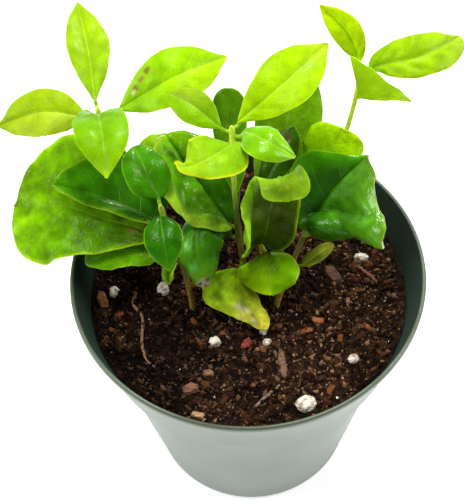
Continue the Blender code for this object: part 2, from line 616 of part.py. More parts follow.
PERLITE_GRAINS = {
    # x, y, and the three half sizes
    "perlite_left": (-25.0, 1.0, 2.0, 2.3, 1.9),
    "perlite_middle": (-10.0, -17.0, 1.9, 1.7, 1.6),
    "perlite_right": (34.0, 11.0, 2.5, 1.7, 1.7),
    "perlite_pair_a": (4.0, -13.5, 1.4, 1.4, 1.3),
    "perlite_pair_b": (5.0, -17.5, 1.6, 1.4, 1.3),
    "perlite_east": (29.0, -24.0, 1.8, 1.6, 1.5),
    "perlite_front": (15.0, -38.0, 3.2, 2.7, 2.2),
    "pebble_tan": (-39.5, 1.0, 1.8, 2.2, 1.5),
}
BARK_CHIPS = {
    # x, y, length, width, thickness and heading
    "bark_orange": (-43.0, -1.0, 6.5, 3.0, 1.5, 110.0),
    "bark_brown_left": (-17.0, -32.0, 5.0, 3.6, 2.0, 20.0),
    "bark_red": (-1.0, -18.5, 4.5, 2.6, 1.6, 60.0),
    "bark_brown_right": (25.0, 5.0, 7.5, 4.2, 2.0, 120.0),
    "bark_strip": (9.0, -25.0, 11.0, 2.2, 1.5, 95.0),
    "bark_tan": (-15.0, -40.0, 4.4, 2.0, 1.4, 170.0),
    "bark_small": (-12.0, -27.0, 3.6, 2.6, 1.6, 0.0),
}
ROOTS = {
    # points along it and its radius
    "root_tan": ([(-36, 0), (-33, 1), (-34, -3), (-31, -8), (-31, -16), (-30, -21), (-27, -25)], 0.5),
    "twig_red": ([(32, 8), (35, 5), (38, 1)], 0.65),
    "twig_grey": ([(1, -38), (4, -35), (8, -32)], 0.55),
}
GRAIN_ROUGHNESS = 0.16


def grain_mesh(x, y, sizes, seed, grow):
    """An angular grain of expanded rock, sunk to a third of its height."""
    shape = bmesh.new()
    bmesh.ops.create_icosphere(shape, subdivisions=2, radius=1.0)
    base = soil_height(x, y) + 0.3 * sizes[2]
    vertices = []
    for vertex in shape.verts:
        bump = 1 + GRAIN_ROUGHNESS * noise.noise(vertex.co * 1.6 + Vector((seed, 0, 0)))
        point = [vertex.co[k] * (bump * sizes[k] + grow) for k in range(3)]
        vertices.append((x + point[0], y + point[1], base + point[2]))
    faces = [tuple(v.index for v in face.verts) for face in shape.faces]
    shape.free()
    return vertices, faces


def chip_mesh(x, y, length, width, thickness, heading, grow):
    """A flat splinter of bark: a six-sided outline, thinner towards its ends."""
    turn = math.radians(heading)
    outline = [(-0.5, -0.25), (-0.2, -0.5), (0.35, -0.42), (0.5, 0.1), (0.15, 0.5), (-0.4, 0.4)]
    base = soil_height(x, y) + 0.1 * thickness
    vertices = []
    for level, narrow in ((-0.5, 0.8), (0.0, 1.0), (0.5, 0.75)):
        for u, v in outline:
            along = u * length * narrow + math.copysign(grow, u)
            across = v * width * narrow + math.copysign(grow, v)
            vertices.append((x + along * math.cos(turn) - across * math.sin(turn),
                             y + along * math.sin(turn) + across * math.cos(turn),
                             base + level * (thickness + 2 * grow) + 0.15 * u * thickness))
    count = len(outline)
    faces = [tuple(reversed(range(count))), tuple(range(2 * count, 3 * count))]
    for level in range(2):
        for k in range(count):
            after = (k + 1) % count
            low = level * count
            faces.append((low + k, low + after, low + count + after, low + count + k))
    return vertices, faces


def root_mesh(points, radius, grow):
    """A thin crooked root that lies along the soil, half sunk."""
    route = smooth(np.array(points, float), np.linspace(0, 1, 4 * len(points) - 3))
    heights = np.array([soil_height(x, y) for x, y in route]) + 0.5 * radius
    rings = 6
    vertices = []
    ahead = unit(np.gradient(route, axis=0))
    taper = np.interp(np.linspace(0, 1, len(route)), [0, 0.2, 0.8, 1], [0.6, 1, 1, 0.6])
    for i, (x, y) in enumerate(route):
        size = radius * taper[i] + grow
        shift = grow * (-1 if i == 0 else 1 if i == len(route) - 1 else 0)
        for k in range(rings):
            angle = 2 * math.pi * k / rings
            sideways = size * math.cos(angle)
            vertices.append((x - ahead[i, 1] * sideways + ahead[i, 0] * shift,
                             y + ahead[i, 0] * sideways + ahead[i, 1] * shift,
                             heights[i] + size * math.sin(angle)))
    faces = [tuple(reversed(range(rings))), tuple(range(len(vertices) - rings, len(vertices)))]
    for i in range(len(route) - 1):
        for k in range(rings):
            after = (k + 1) % rings
            low = i * rings
            faces.append((low + k, low + after, low + rings + after, low + rings + k))
    return vertices, faces


def lay_in_soil(name, make, material, holes):
    """Add a piece and the slightly larger hollow it lies in."""
    add_object(name, *make(0.0), material)
    keep_as_cutter(add_object(f"{name}_hollow", *make(CLEARANCE), material), holes)


def build_litter(holes):
    for seed, (name, (x, y, *sizes)) in enumerate(PERLITE_GRAINS.items()):
        lay_in_soil(name, lambda grow: grain_mesh(x, y, sizes, 3.0 * seed, grow), PERLITE, holes)
    for name, values in BARK_CHIPS.items():
        lay_in_soil(name, lambda grow: chip_mesh(*values, grow), BARK, holes)
    for name, (points, radius) in ROOTS.items():
        lay_in_soil(name, lambda grow: root_mesh(points, radius, grow), ROOT, holes)


build_pot()
soil, soil_holes = build_soil()
build_litter(soil_holes)
cut_with(soil, soil_holes)
for stem_name in STEMS:
    build_stem(stem_name)
for leaf_name in LEAVES:
    build_leaf(leaf_name)
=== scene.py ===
"""Potted coffee seedlings, dressed for a product photograph on a white table.

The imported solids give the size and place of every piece. This file adds the finished
surfaces: the moulded pot, the crumbly peat mix, the stems and the veined leaves.
"""

import math

import bmesh
import bpy
import numpy as np
from mathutils import Matrix, Vector, noise


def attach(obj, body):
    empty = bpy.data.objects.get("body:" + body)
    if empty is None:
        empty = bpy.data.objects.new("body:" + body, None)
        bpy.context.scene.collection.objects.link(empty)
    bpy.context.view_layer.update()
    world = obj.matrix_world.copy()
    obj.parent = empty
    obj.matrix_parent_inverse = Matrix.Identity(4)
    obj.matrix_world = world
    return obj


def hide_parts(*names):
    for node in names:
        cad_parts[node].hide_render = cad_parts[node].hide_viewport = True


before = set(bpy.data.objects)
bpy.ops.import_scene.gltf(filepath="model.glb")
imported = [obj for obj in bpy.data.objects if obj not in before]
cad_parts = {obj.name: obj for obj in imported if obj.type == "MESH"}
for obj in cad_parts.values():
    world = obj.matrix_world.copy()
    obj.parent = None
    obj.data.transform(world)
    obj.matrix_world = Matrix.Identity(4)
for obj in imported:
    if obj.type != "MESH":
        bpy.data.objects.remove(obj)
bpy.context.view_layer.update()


# Camera. The photographer stands over the pot and looks down at it with a short telephoto
# lens, so the rim is a wide ellipse and the pot narrows strongly towards its foot.

MM = 0.001
AIM_HEIGHT = 88.0
CAMERA_ELEVATION = math.radians(55.7)
CAMERA_DISTANCE = 340.0
CAMERA_ROLL = math.radians(-1.75)

camera = bpy.data.objects.new("camera", bpy.data.cameras.new("camera"))
bpy.context.scene.collection.objects.link(camera)
bpy.context.scene.camera = camera
camera.data.lens = 85.5
camera.data.sensor_width = 36.0
camera.data.shift_x = -0.0314
camera.data.shift_y = 0.0388
camera.data.clip_start = 0.02
backwards = Vector((0.0, -math.cos(CAMERA_ELEVATION), math.sin(CAMERA_ELEVATION)))
look = (-backwards).to_track_quat("-Z", "Y").to_matrix().to_4x4()
stand = Vector((0.0, 0.0, AIM_HEIGHT * MM)) + backwards * CAMERA_DISTANCE * MM
camera.matrix_world = Matrix.Translation(stand) @ look @ Matrix.Rotation(CAMERA_ROLL, 4, "Z")


# Studio. A white table and diffusers on both sides, with one smaller lamp behind and above
# the plant that draws the bright glints on the waxy leaves.

LAMP_AIM = Vector((0.0, 0.0, 0.1))
TABLE_HALF = 3000.0
LAMPS = {
    # place in metres, side of the square panel in metres, power in watts
    "left_diffuser": ((-0.85, 0.0, 0.6), 0.5, 6.6),
    "right_diffuser": ((0.85, 0.05, 0.6), 0.5, 6.0),
    "top_diffuser": ((0.0, 0.15, 1.0), 0.45, 6.0),
    "glint_lamp": ((0.05, 0.5, 0.62), 0.1, 3.0),
}

for lamp_name, (place, side, power) in LAMPS.items():
    light = bpy.data.lights.new(lamp_name, "AREA")
    light.shape = "SQUARE"
    light.size = side
    light.energy = power
    lamp = bpy.data.objects.new(lamp_name, light)
    bpy.context.scene.collection.objects.link(lamp)
    lamp.location = place
    lamp.rotation_euler = (LAMP_AIM - lamp.location).to_track_quat("-Z", "Y").to_euler()

bpy.context.scene.view_settings.view_transform = "Standard"
room = bpy.data.worlds.new("white_room")
bpy.context.scene.world = room
room.use_nodes = True
walls = room.node_tree.nodes["Background"]
walls.inputs["Color"].default_value = (1.0, 1.0, 1.0, 1.0)
walls.inputs["Strength"].default_value = 0.16


def linear(code):
    """An sRGB hex colour as linear red, green, blue and alpha."""
    values = [int(code[k:k + 2], 16) / 255 for k in (0, 2, 4)]
    return tuple(c / 12.92 if c <= 0.04045 else ((c + 0.055) / 1.055) ** 2.4 for c in values) + (1.0,)


def add_node(tree, kind, settings=None, inputs=None):
    """Add a node, set its properties, and fill its inputs with values or links."""
    made = tree.nodes.new(kind)
    for key, value in (settings or {}).items():
        setattr(made, key, value)
    for key, value in (inputs or {}).items():
        if isinstance(value, bpy.types.NodeSocket):
            tree.links.new(value, made.inputs[key])
        else:
            made.inputs[key].default_value = value
    return made


def new_finish(name, roughness, ior=1.5):
    """A material with one Principled shader, and its tree."""
    finish = bpy.data.materials.new(name)
    finish.use_nodes = True
    shader = finish.node_tree.nodes["Principled BSDF"]
    shader.inputs["Roughness"].default_value = roughness
    shader.inputs["IOR"].default_value = ior
    return finish, finish.node_tree, shader


def new_piece(name, vertices, faces, finish, smooth_angle=60.0):
    """A mesh object at the origin from points in millimetres."""
    mesh = bpy.data.meshes.new(name)
    mesh.from_pydata((np.asarray(vertices, float) * MM).tolist(), [], faces)
    mesh.materials.append(finish)
    mesh.shade_smooth()
    mesh.set_sharp_from_angle(angle=math.radians(smooth_angle))
    piece = bpy.data.objects.new(name, mesh)
    bpy.context.scene.collection.objects.link(piece)
    return piece


# Table top: matt white acrylic lit a little from below, so that shadows on it stay pale
table_acrylic, tree, shader = new_finish("lit_white_table_acrylic", 0.9)
shader.inputs["Base Color"].default_value = linear("F8F8F8")
shader.inputs["Specular IOR Level"].default_value = 0.0
shader.inputs["Emission Color"].default_value = (1.0, 1.0, 1.0, 1.0)
shader.inputs["Emission Strength"].default_value = 0.5
table_corners = [(TABLE_HALF * x, TABLE_HALF * y, 0.0) for x, y in ((-1, -1), (1, -1), (1, 1), (-1, 1))]
table = new_piece("table", table_corners, [(0, 1, 2, 3)], table_acrylic)


# Pot. A thin injection-moulded polypropylene nursery pot with a tapered body, a wider collar
# and a rolled lip. Its wall is dark green; its outside is painted pale grey-green, a painted
# reflection of the white room, and the top of its lip a lighter olive, a painted highlight.

POT_HEIGHT = 88.0
RIM_RADIUS = 51.0
WALL = 1.2
COLLAR_FOOT = 67.0
SHOULDER_FOOT = 64.8
POT_SIDES = 160
UNDERSIDE = 0.6
POT_FLOOR = 1.6
DRAIN_HOLES = 6
DRAIN_RADIUS = 2.5
DRAIN_CIRCLE = 22.0
OUTSIDE, LIP, INSIDE = 0.0, 0.5, 1.0
POT_TAPER = {
    # height and outer radius of the wall, without the roll of the lip
    0.0: 32.0, SHOULDER_FOOT: 43.2, COLLAR_FOOT: 45.6, POT_HEIGHT: 50.5,
}


def pot_inner_radius(height):
    """Radius of the pot's inner face at a height."""
    return float(np.interp(height, list(POT_TAPER), list(POT_TAPER.values()))) - WALL


POT_PROFILE = [
    # radius, height and which face it is on, from the middle of the underside round to the inside
    (10.0, UNDERSIDE, OUTSIDE), (27.0, UNDERSIDE, OUTSIDE), (28.2, 0.0, OUTSIDE), (30.8, 0.0, OUTSIDE),
    (31.6, 0.3, OUTSIDE), (32.1, 1.2, OUTSIDE), (32.25, 2.6, OUTSIDE), (34.9, 18.0, OUTSIDE),
    (37.7, 34.0, OUTSIDE), (40.4, 50.0, OUTSIDE), (42.6, 62.5, OUTSIDE), (43.2, 64.8, OUTSIDE),
    (44.0, 65.2, OUTSIDE), (45.2, 66.0, OUTSIDE), (45.6, 66.8, OUTSIDE), (45.75, 67.8, OUTSIDE),
    (47.9, 76.5, OUTSIDE), (50.3, 85.7, OUTSIDE), (50.5, 86.1, OUTSIDE), (50.95, 86.5, OUTSIDE),
    (RIM_RADIUS, 87.2, OUTSIDE), (50.85, 87.7, LIP), (50.45, POT_HEIGHT, LIP),
    (50.1, POT_HEIGHT, LIP), (49.75, 87.8, INSIDE), (49.5, 87.2, INSIDE), (46.9, 77.5, INSIDE),
    (44.5, 67.2, INSIDE), (44.2, 66.6, INSIDE), (42.0, 64.6, INSIDE), (41.6, 63.5, INSIDE),
    (36.6, 34.0, INSIDE), (31.1, 2.2, INSIDE), (30.5, POT_FLOOR, INSIDE),
]

pot_points = [(0.0, 0.0, UNDERSIDE)]
pot_zone = [OUTSIDE]
for radius, height, zone in POT_PROFILE:
    for k in range(POT_SIDES):
        angle = 2 * math.pi * k / POT_SIDES
        pot_points.append((radius * math.cos(angle), radius * math.sin(angle), height))
        pot_zone.append(zone)
pot_points.append((0.0, 0.0, POT_FLOOR))
pot_zone.append(INSIDE)
pot_faces = []
for k in range(POT_SIDES):
    after = (k + 1) % POT_SIDES
    pot_faces.append((0, 1 + after, 1 + k))
    for ring in range(len(POT_PROFILE) - 1):
        low = 1 + ring * POT_SIDES
        high = low + POT_SIDES
        pot_faces.append((low + k, low + after, high + after, high + k))
    pot_faces.append((high + k, high + after, len(pot_points) - 1))

# Socket numbers. A Map Range node turns LOW to HIGH into TO_LOW to TO_HIGH, or into 0 to 1. A
# colour Mix node goes from its FIRST to its SECOND colour by SHARE, and gives it out as MIXED.
VALUE, LOW, HIGH, TO_LOW, TO_HIGH = range(5)
SHARE, FIRST, SECOND, MIXED = 0, 6, 7, 2

# Polypropylene is slightly waxy: broad soft reflections, a pale painted reflection over the outside
# in patches of 20 mm, a lighter painted highlight on the lip top, and fine rings of 1 mm round
# the wall, left by the mould
pot_plastic, tree, shader = new_finish("moulded_green_polypropylene", 0.42, 1.49)
place = add_node(tree, "ShaderNodeTexCoord").outputs["Object"]
zone = add_node(tree, "ShaderNodeAttribute", {"attribute_name": "zone"}).outputs["Fac"]
pale_sheen_patches = add_node(tree, "ShaderNodeTexNoise", None, {"Vector": place, "Scale": 45.0, "Detail": 3.0})
inner_mask = add_node(tree, "ShaderNodeMapRange", None, {VALUE: zone, LOW: 0.55, HIGH: 0.95})
lip_highlight_mask = add_node(tree, "ShaderNodeMapRange", None, {VALUE: zone, LOW: 0.05, HIGH: 0.45})
# the outside: the dark green plastic painted pale grey-green in patches, a painted reflection
pale_sheen_outside = add_node(tree, "ShaderNodeMix", {"data_type": "RGBA"},
                   {SHARE: pale_sheen_patches.outputs[0], FIRST: linear("78837A"), SECOND: linear("878F86")})
# the top of the lip: painted a lighter olive, a painted highlight
with_lip_highlight = add_node(tree, "ShaderNodeMix", {"data_type": "RGBA"},
                    {SHARE: lip_highlight_mask.outputs[0], FIRST: pale_sheen_outside.outputs[MIXED], SECOND: linear("4F5A44")})
whole = add_node(tree, "ShaderNodeMix", {"data_type": "RGBA"},
                 {SHARE: inner_mask.outputs[0], FIRST: with_lip_highlight.outputs[MIXED], SECOND: linear("2A3D33")})
tree.links.new(whole.outputs[MIXED], shader.inputs["Base Color"])
lines = add_node(tree, "ShaderNodeMapping", None, {"Vector": place, "Scale": (30.0, 30.0, 900.0)})
grain = add_node(tree, "ShaderNodeTexNoise", None,
                 {"Vector": lines.outputs[0], "Scale": 1.0, "Detail": 2.0})
bump = add_node(tree, "ShaderNodeBump", None,
                {"Strength": 0.25, "Distance": 0.0002, "Height": grain.outputs[0]})
tree.links.new(bump.outputs[0], shader.inputs["Normal"])
shine = add_node(tree, "ShaderNodeMapRange", None,
                 {VALUE: pale_sheen_patches.outputs[0], LOW: 0.3, HIGH: 0.7, TO_LOW: 0.36, TO_HIGH: 0.52})
tree.links.new(shine.outputs[0], shader.inputs["Roughness"])

pot = new_piece("pot_wall", pot_points, pot_faces, pot_plastic, 35.0)
zones = pot.data.attributes.new("zone", "FLOAT", "POINT")
zones.data.foreach_set("value", pot_zone)
drills = []
for k in range(DRAIN_HOLES):
    angle = 2 * math.pi * (k + 0.5) / DRAIN_HOLES
    middle = (DRAIN_CIRCLE * MM * math.cos(angle), DRAIN_CIRCLE * MM * math.sin(angle), 0.0)
    drill = bmesh.new()
    bmesh.ops.create_cone(drill, cap_ends=True, segments=24, radius1=DRAIN_RADIUS * MM,
                          radius2=DRAIN_RADIUS * MM, depth=6 * MM, matrix=Matrix.Translation(middle))
    cutter_mesh = bpy.data.meshes.new("drain_drill")
    drill.to_mesh(cutter_mesh)
    drill.free()
    drills.append(bpy.data.objects.new("drain_drill", cutter_mesh))
    bpy.context.scene.collection.objects.link(drills[-1])
    hole = pot.modifiers.new("drain_hole", "BOOLEAN")
    hole.operation = "DIFFERENCE"
    hole.object = drills[-1]
drilled = bpy.data.meshes.new_from_object(pot.evaluated_get(bpy.context.evaluated_depsgraph_get()))
pot.modifiers.clear()
pot.data = drilled
for drill in drills:
    bpy.data.objects.remove(drill)
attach(pot, "root")
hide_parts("pot")


# Peat mix. Damp milled peat with composted bark: nearly black, in soft lumps a few
# millimetres across, filled to a finger's width below the rim.

SOIL_LEVEL = 76.5
SOIL_SKIRT = 74.0
SOIL_FOOT = 2.0
SOIL_GAP = 0.3
SOIL_SIDES = 300
SOIL_RINGS = 96
LUMP_WIDTH, LUMP_HEIGHT = 7.0, 1.5
CLOD_WIDTH, CLOD_HEIGHT = 2.6, 0.75
CRUMB_WIDTH, CRUMB_HEIGHT = 1.1, 0.45
GRIT_WIDTH, GRIT_HEIGHT = 0.55, 0.2
DISH = 0.5
SETTLED = 0.2


def soil_height(x, y):
    """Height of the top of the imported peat, as in the solid: lumpy, and lower at the wall."""
    reach = math.hypot(x, y) / pot_inner_radius(SOIL_LEVEL)
    lumps = noise.noise(Vector((x / LUMP_WIDTH, y / LUMP_WIDTH, 0.0)))
    lumps += 0.5 * noise.noise(Vector((2 * x / LUMP_WIDTH, 2 * y / LUMP_WIDTH, 5.0)))
    return SOIL_LEVEL + LUMP_HEIGHT * lumps * min(1.0, 4 * (1.0 - reach)) - DISH * reach ** 4


def crumbly(x, y):
    """Height of the loose surface, with clods of about 3 mm, crumbs of about 1 mm, and grit."""
    clods = noise.noise(Vector((x / CLOD_WIDTH, y / CLOD_WIDTH, 9.0)))
    crumbs = noise.noise(Vector((x / CRUMB_WIDTH, y / CRUMB_WIDTH, 3.0)))
    grit = noise.noise(Vector((x / GRIT_WIDTH, y / GRIT_WIDTH, 6.0)))
    return (soil_height(x, y) + CLOD_HEIGHT * clods + CRUMB_HEIGHT * abs(crumbs)
            + GRIT_HEIGHT * grit - SETTLED)


soil_radius = pot_inner_radius(SOIL_LEVEL) - SOIL_GAP
top_points = []
for ring in range(SOIL_RINGS):
    radius = soil_radius * (1 - ring / SOIL_RINGS)
    for k in range(SOIL_SIDES):
        angle = 2 * math.pi * k / SOIL_SIDES
        x, y = radius * math.cos(angle), radius * math.sin(angle)
        top_points.append((x, y, crumbly(x, y)))
top_points.append((0.0, 0.0, crumbly(0.0, 0.0)))
top_faces = []
for k in range(SOIL_SIDES):
    after = (k + 1) % SOIL_SIDES
    for ring in range(SOIL_RINGS - 1):
        low = ring * SOIL_SIDES
        high = low + SOIL_SIDES
        top_faces.append((low + k, low + after, high + after, high + k))
    top_faces.append((high + k, high + after, len(top_points) - 1))
soil_points = list(top_points)
soil_faces = list(top_faces)
edge = 0
for height in (SOIL_SKIRT, COLLAR_FOOT, SHOULDER_FOOT, SOIL_FOOT):
    start = len(soil_points)
    radius = pot_inner_radius(height) - SOIL_GAP
    for k in range(SOIL_SIDES):
        angle = 2 * math.pi * k / SOIL_SIDES
        soil_points.append((radius * math.cos(angle), radius * math.sin(angle), height))
    for k in range(SOIL_SIDES):
        after = (k + 1) % SOIL_SIDES
        soil_faces.append((edge + k, start + k, start + after, edge + after))
    edge = start
soil_faces.append(tuple(reversed(range(edge, edge + SOIL_SIDES))))


def add_dampness_and_shade(tree, place):
    """How bright the mix is: black where wet and browner in dry patches of 12 mm, with painted light to the
    right and painted shade to the left.
    """
    patches = add_node(tree, "ShaderNodeTexNoise", None, {"Vector": place, "Scale": 85.0, "Detail": 2.0})
    dry = add_node(tree, "ShaderNodeMapRange", None,
                   {VALUE: patches.outputs[0], LOW: 0.35, HIGH: 0.65, TO_LOW: 0.55, TO_HIGH: 1.6})
    across = add_node(tree, "ShaderNodeSeparateXYZ", None, {0: place}).outputs[0]
    # painted light: brighter to the right and, as painted shade, darker to the left
    painted_light_to_right = add_node(tree, "ShaderNodeMapRange", None,
                    {VALUE: across, LOW: -0.04, HIGH: 0.03, TO_LOW: 0.6, TO_HIGH: 1.7})
    return add_node(tree, "ShaderNodeMath", {"operation": "MULTIPLY"},
                    {0: dry.outputs[0], 1: painted_light_to_right.outputs[0]}).outputs[0]


# Fibrous and damp: almost black and without shine, with rust-brown clods of 3 mm and crumbs
# of 1 mm
peat, tree, shader = new_finish("damp_milled_peat", 0.85, 1.4)
shader.inputs["Specular IOR Level"].default_value = 0.1
place = add_node(tree, "ShaderNodeTexCoord").outputs["Object"]
clods = add_node(tree, "ShaderNodeTexNoise", None, {"Vector": place, "Scale": 330.0, "Detail": 4.0})
crumbs = add_node(tree, "ShaderNodeTexVoronoi", None, {"Vector": place, "Scale": 900.0})
rust = add_node(tree, "ShaderNodeMapRange", None, {VALUE: clods.outputs[0], LOW: 0.45, HIGH: 0.68})
tone = add_node(tree, "ShaderNodeMix", {"data_type": "RGBA"},
                {SHARE: rust.outputs[0], FIRST: linear("110A06"), SECOND: linear("3A2416")})
speck = add_node(tree, "ShaderNodeMapRange", None,
                 {VALUE: crumbs.outputs[0], LOW: 0.0, HIGH: 0.7, TO_LOW: 1.25, TO_HIGH: 0.5})
toned = add_node(tree, "ShaderNodeMix", {"data_type": "RGBA", "blend_type": "MULTIPLY"},
                 {SHARE: 1.0, FIRST: tone.outputs[MIXED], SECOND: speck.outputs[0]})
# darker in wet patches, with painted light to the right and painted shade to the left
damp_and_shaded = add_node(tree, "ShaderNodeMix", {"data_type": "RGBA", "blend_type": "MULTIPLY"},
                {SHARE: 1.0, FIRST: toned.outputs[MIXED], SECOND: add_dampness_and_shade(tree, place)})
tree.links.new(damp_and_shaded.outputs[MIXED], shader.inputs["Base Color"])
bump = add_node(tree, "ShaderNodeBump", None,
                {"Strength": 0.6, "Distance": 0.0004, "Height": crumbs.outputs[0]})
tree.links.new(bump.outputs[0], shader.inputs["Normal"])
soil = new_piece("peat_surface", soil_points, soil_faces, peat, 80.0)
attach(soil, "root")
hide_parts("soil")


# Loose crumbs. Peat granules, chips of bark, specks of perlite and broken fibres lie scattered
# over the surface, as they fall when the pot is filled and watered.

GRAIN_RADIUS = 0.5
GRAIN_BUMP = 0.8
FULL_TURN = 6.28
TINT_SEED = 77


def grain_shape(name, cuts, stretch, seed):
    """A small uneven grain about 1 mm across, used as the pattern for many."""
    shape = bmesh.new()
    bmesh.ops.create_cube(shape, size=1.0)
    if cuts:
        bmesh.ops.subdivide_edges(shape, edges=shape.edges, cuts=cuts, use_grid_fill=True)
    for vertex in shape.verts:
        out = vertex.co.normalized()
        swell = GRAIN_RADIUS * MM * (1 + GRAIN_BUMP * noise.noise(out * 1.7 + Vector((seed, 3, 0))))
        vertex.co = Vector([swell * out[k] * stretch[k] for k in range(3)])
    mesh = bpy.data.meshes.new(name)
    shape.to_mesh(mesh)
    shape.free()
    mesh.shade_smooth()
    pattern = bpy.data.objects.new(name, mesh)
    bpy.context.scene.collection.objects.link(pattern)
    pattern.hide_render = True
    return pattern


scatter = bpy.data.node_groups.new("scatter_crumbs", "GeometryNodeTree")
scatter.interface.new_socket("Surface", in_out="INPUT", socket_type="NodeSocketGeometry")
sockets = {}
for label, kind in (("Shape", "NodeSocketObject"), ("Per Square Metre", "NodeSocketFloat"),
                    ("Smallest", "NodeSocketFloat"), ("Largest", "NodeSocketFloat"),
                    ("Tumble", "NodeSocketFloat"), ("Seed", "NodeSocketInt"),
                    ("Finish", "NodeSocketMaterial")):
    sockets[label] = scatter.interface.new_socket(label, in_out="INPUT", socket_type=kind).identifier
scatter.interface.new_socket("Crumbs", in_out="OUTPUT", socket_type="NodeSocketGeometry")
given = add_node(scatter, "NodeGroupInput").outputs
spread = add_node(scatter, "GeometryNodeDistributePointsOnFaces", None,
                  {"Mesh": given["Surface"], "Density": given["Per Square Metre"], "Seed": given["Seed"]})
size = add_node(scatter, "FunctionNodeRandomValue", None,
                {2: given["Smallest"], 3: given["Largest"], "Seed": given["Seed"]})
most = add_node(scatter, "ShaderNodeCombineXYZ", None,
                {0: given["Tumble"], 1: given["Tumble"], 2: FULL_TURN})
spin = add_node(scatter, "FunctionNodeRandomValue", {"data_type": "FLOAT_VECTOR"},
                {1: most.outputs[0], "Seed": given["Seed"]})
pattern = add_node(scatter, "GeometryNodeObjectInfo", None, {"Object": given["Shape"]})
placed = add_node(scatter, "GeometryNodeInstanceOnPoints", None,
                  {"Points": spread.outputs["Points"], "Instance": pattern.outputs["Geometry"],
                   "Rotation": spin.outputs[0], "Scale": size.outputs[1]})
shade = add_node(scatter, "FunctionNodeRandomValue", None, {2: 0.0, 3: 1.0, "Seed": TINT_SEED})
tinted = add_node(scatter, "GeometryNodeStoreNamedAttribute", {"data_type": "FLOAT", "domain": "INSTANCE"},
                  {"Geometry": placed.outputs[0], "Name": "tint", "Value": shade.outputs[1]})
real = add_node(scatter, "GeometryNodeRealizeInstances", None, {"Geometry": tinted.outputs[0]})
coated = add_node(scatter, "GeometryNodeSetMaterial", None,
                  {"Geometry": real.outputs[0], "Material": given["Finish"]})
add_node(scatter, "NodeGroupOutput", None, {"Crumbs": coated.outputs[0]})


def crumb_finish(name, dark, middle, light, roughness, grain):
    """A dull material whose colour runs from dark to light with the random tint of each crumb."""
    finish, tree, shader = new_finish(name, roughness, 1.4)
    shader.inputs["Specular IOR Level"].default_value = 0.1
    tint = add_node(tree, "ShaderNodeAttribute", {"attribute_name": "tint"}).outputs["Fac"]
    low = add_node(tree, "ShaderNodeMapRange", None, {VALUE: tint, LOW: 0.0, HIGH: 0.7})
    high = add_node(tree, "ShaderNodeMapRange", None, {VALUE: tint, LOW: 0.7, HIGH: 1.0})
    browned = add_node(tree, "ShaderNodeMix", {"data_type": "RGBA"},
                       {SHARE: low.outputs[0], FIRST: linear(dark), SECOND: linear(middle)})
    dusted = add_node(tree, "ShaderNodeMix", {"data_type": "RGBA"},
                      {SHARE: high.outputs[0], FIRST: browned.outputs[MIXED], SECOND: linear(light)})
    place = add_node(tree, "ShaderNodeTexCoord").outputs["Object"]
    fibre = add_node(tree, "ShaderNodeTexNoise", None, {"Vector": place, "Scale": grain, "Detail": 3.0})
    depth = add_node(tree, "ShaderNodeMapRange", None,
                     {VALUE: fibre.outputs[0], LOW: 0.3, HIGH: 0.7, TO_LOW: 0.55, TO_HIGH: 1.25})
    worn = add_node(tree, "ShaderNodeMix", {"data_type": "RGBA", "blend_type": "MULTIPLY"},
                    {SHARE: 1.0, FIRST: dusted.outputs[MIXED], SECOND: depth.outputs[0]})
    # darker in wet patches, with painted light to the right and painted shade to the left
    damp_and_shaded = add_node(tree, "ShaderNodeMix", {"data_type": "RGBA", "blend_type": "MULTIPLY"},
                    {SHARE: 1.0, FIRST: worn.outputs[MIXED], SECOND: add_dampness_and_shade(tree, place)})
    tree.links.new(damp_and_shaded.outputs[MIXED], shader.inputs["Base Color"])
    bump = add_node(tree, "ShaderNodeBump", None,
                    {"Strength": 0.5, "Distance": 0.0002, "Height": fibre.outputs[0]})
    tree.links.new(bump.outputs[0], shader.inputs["Normal"])
    return finish


# Dried peat is matt and fibrous, bark is rust red, and perlite is chalk white foam glass. All
# have a grain finer than 1 mm, which shows only as uneven tone.
peat_grain = crumb_finish("dry_peat_granules", "0E0805", "2C1B10", "72553C", 0.9, 1400.0)
bark_grain = crumb_finish("composted_bark_crumbs", "1E100A", "3C2414", "744628", 0.85, 1100.0)
white_grain = crumb_finish("perlite_specks", "4C4036", "8C7C6C", "DAD0C2", 0.8, 1600.0)
fibre_grain = crumb_finish("broken_peat_fibres", "1C1008", "3E2816", "7C5A38", 0.85, 1500.0)

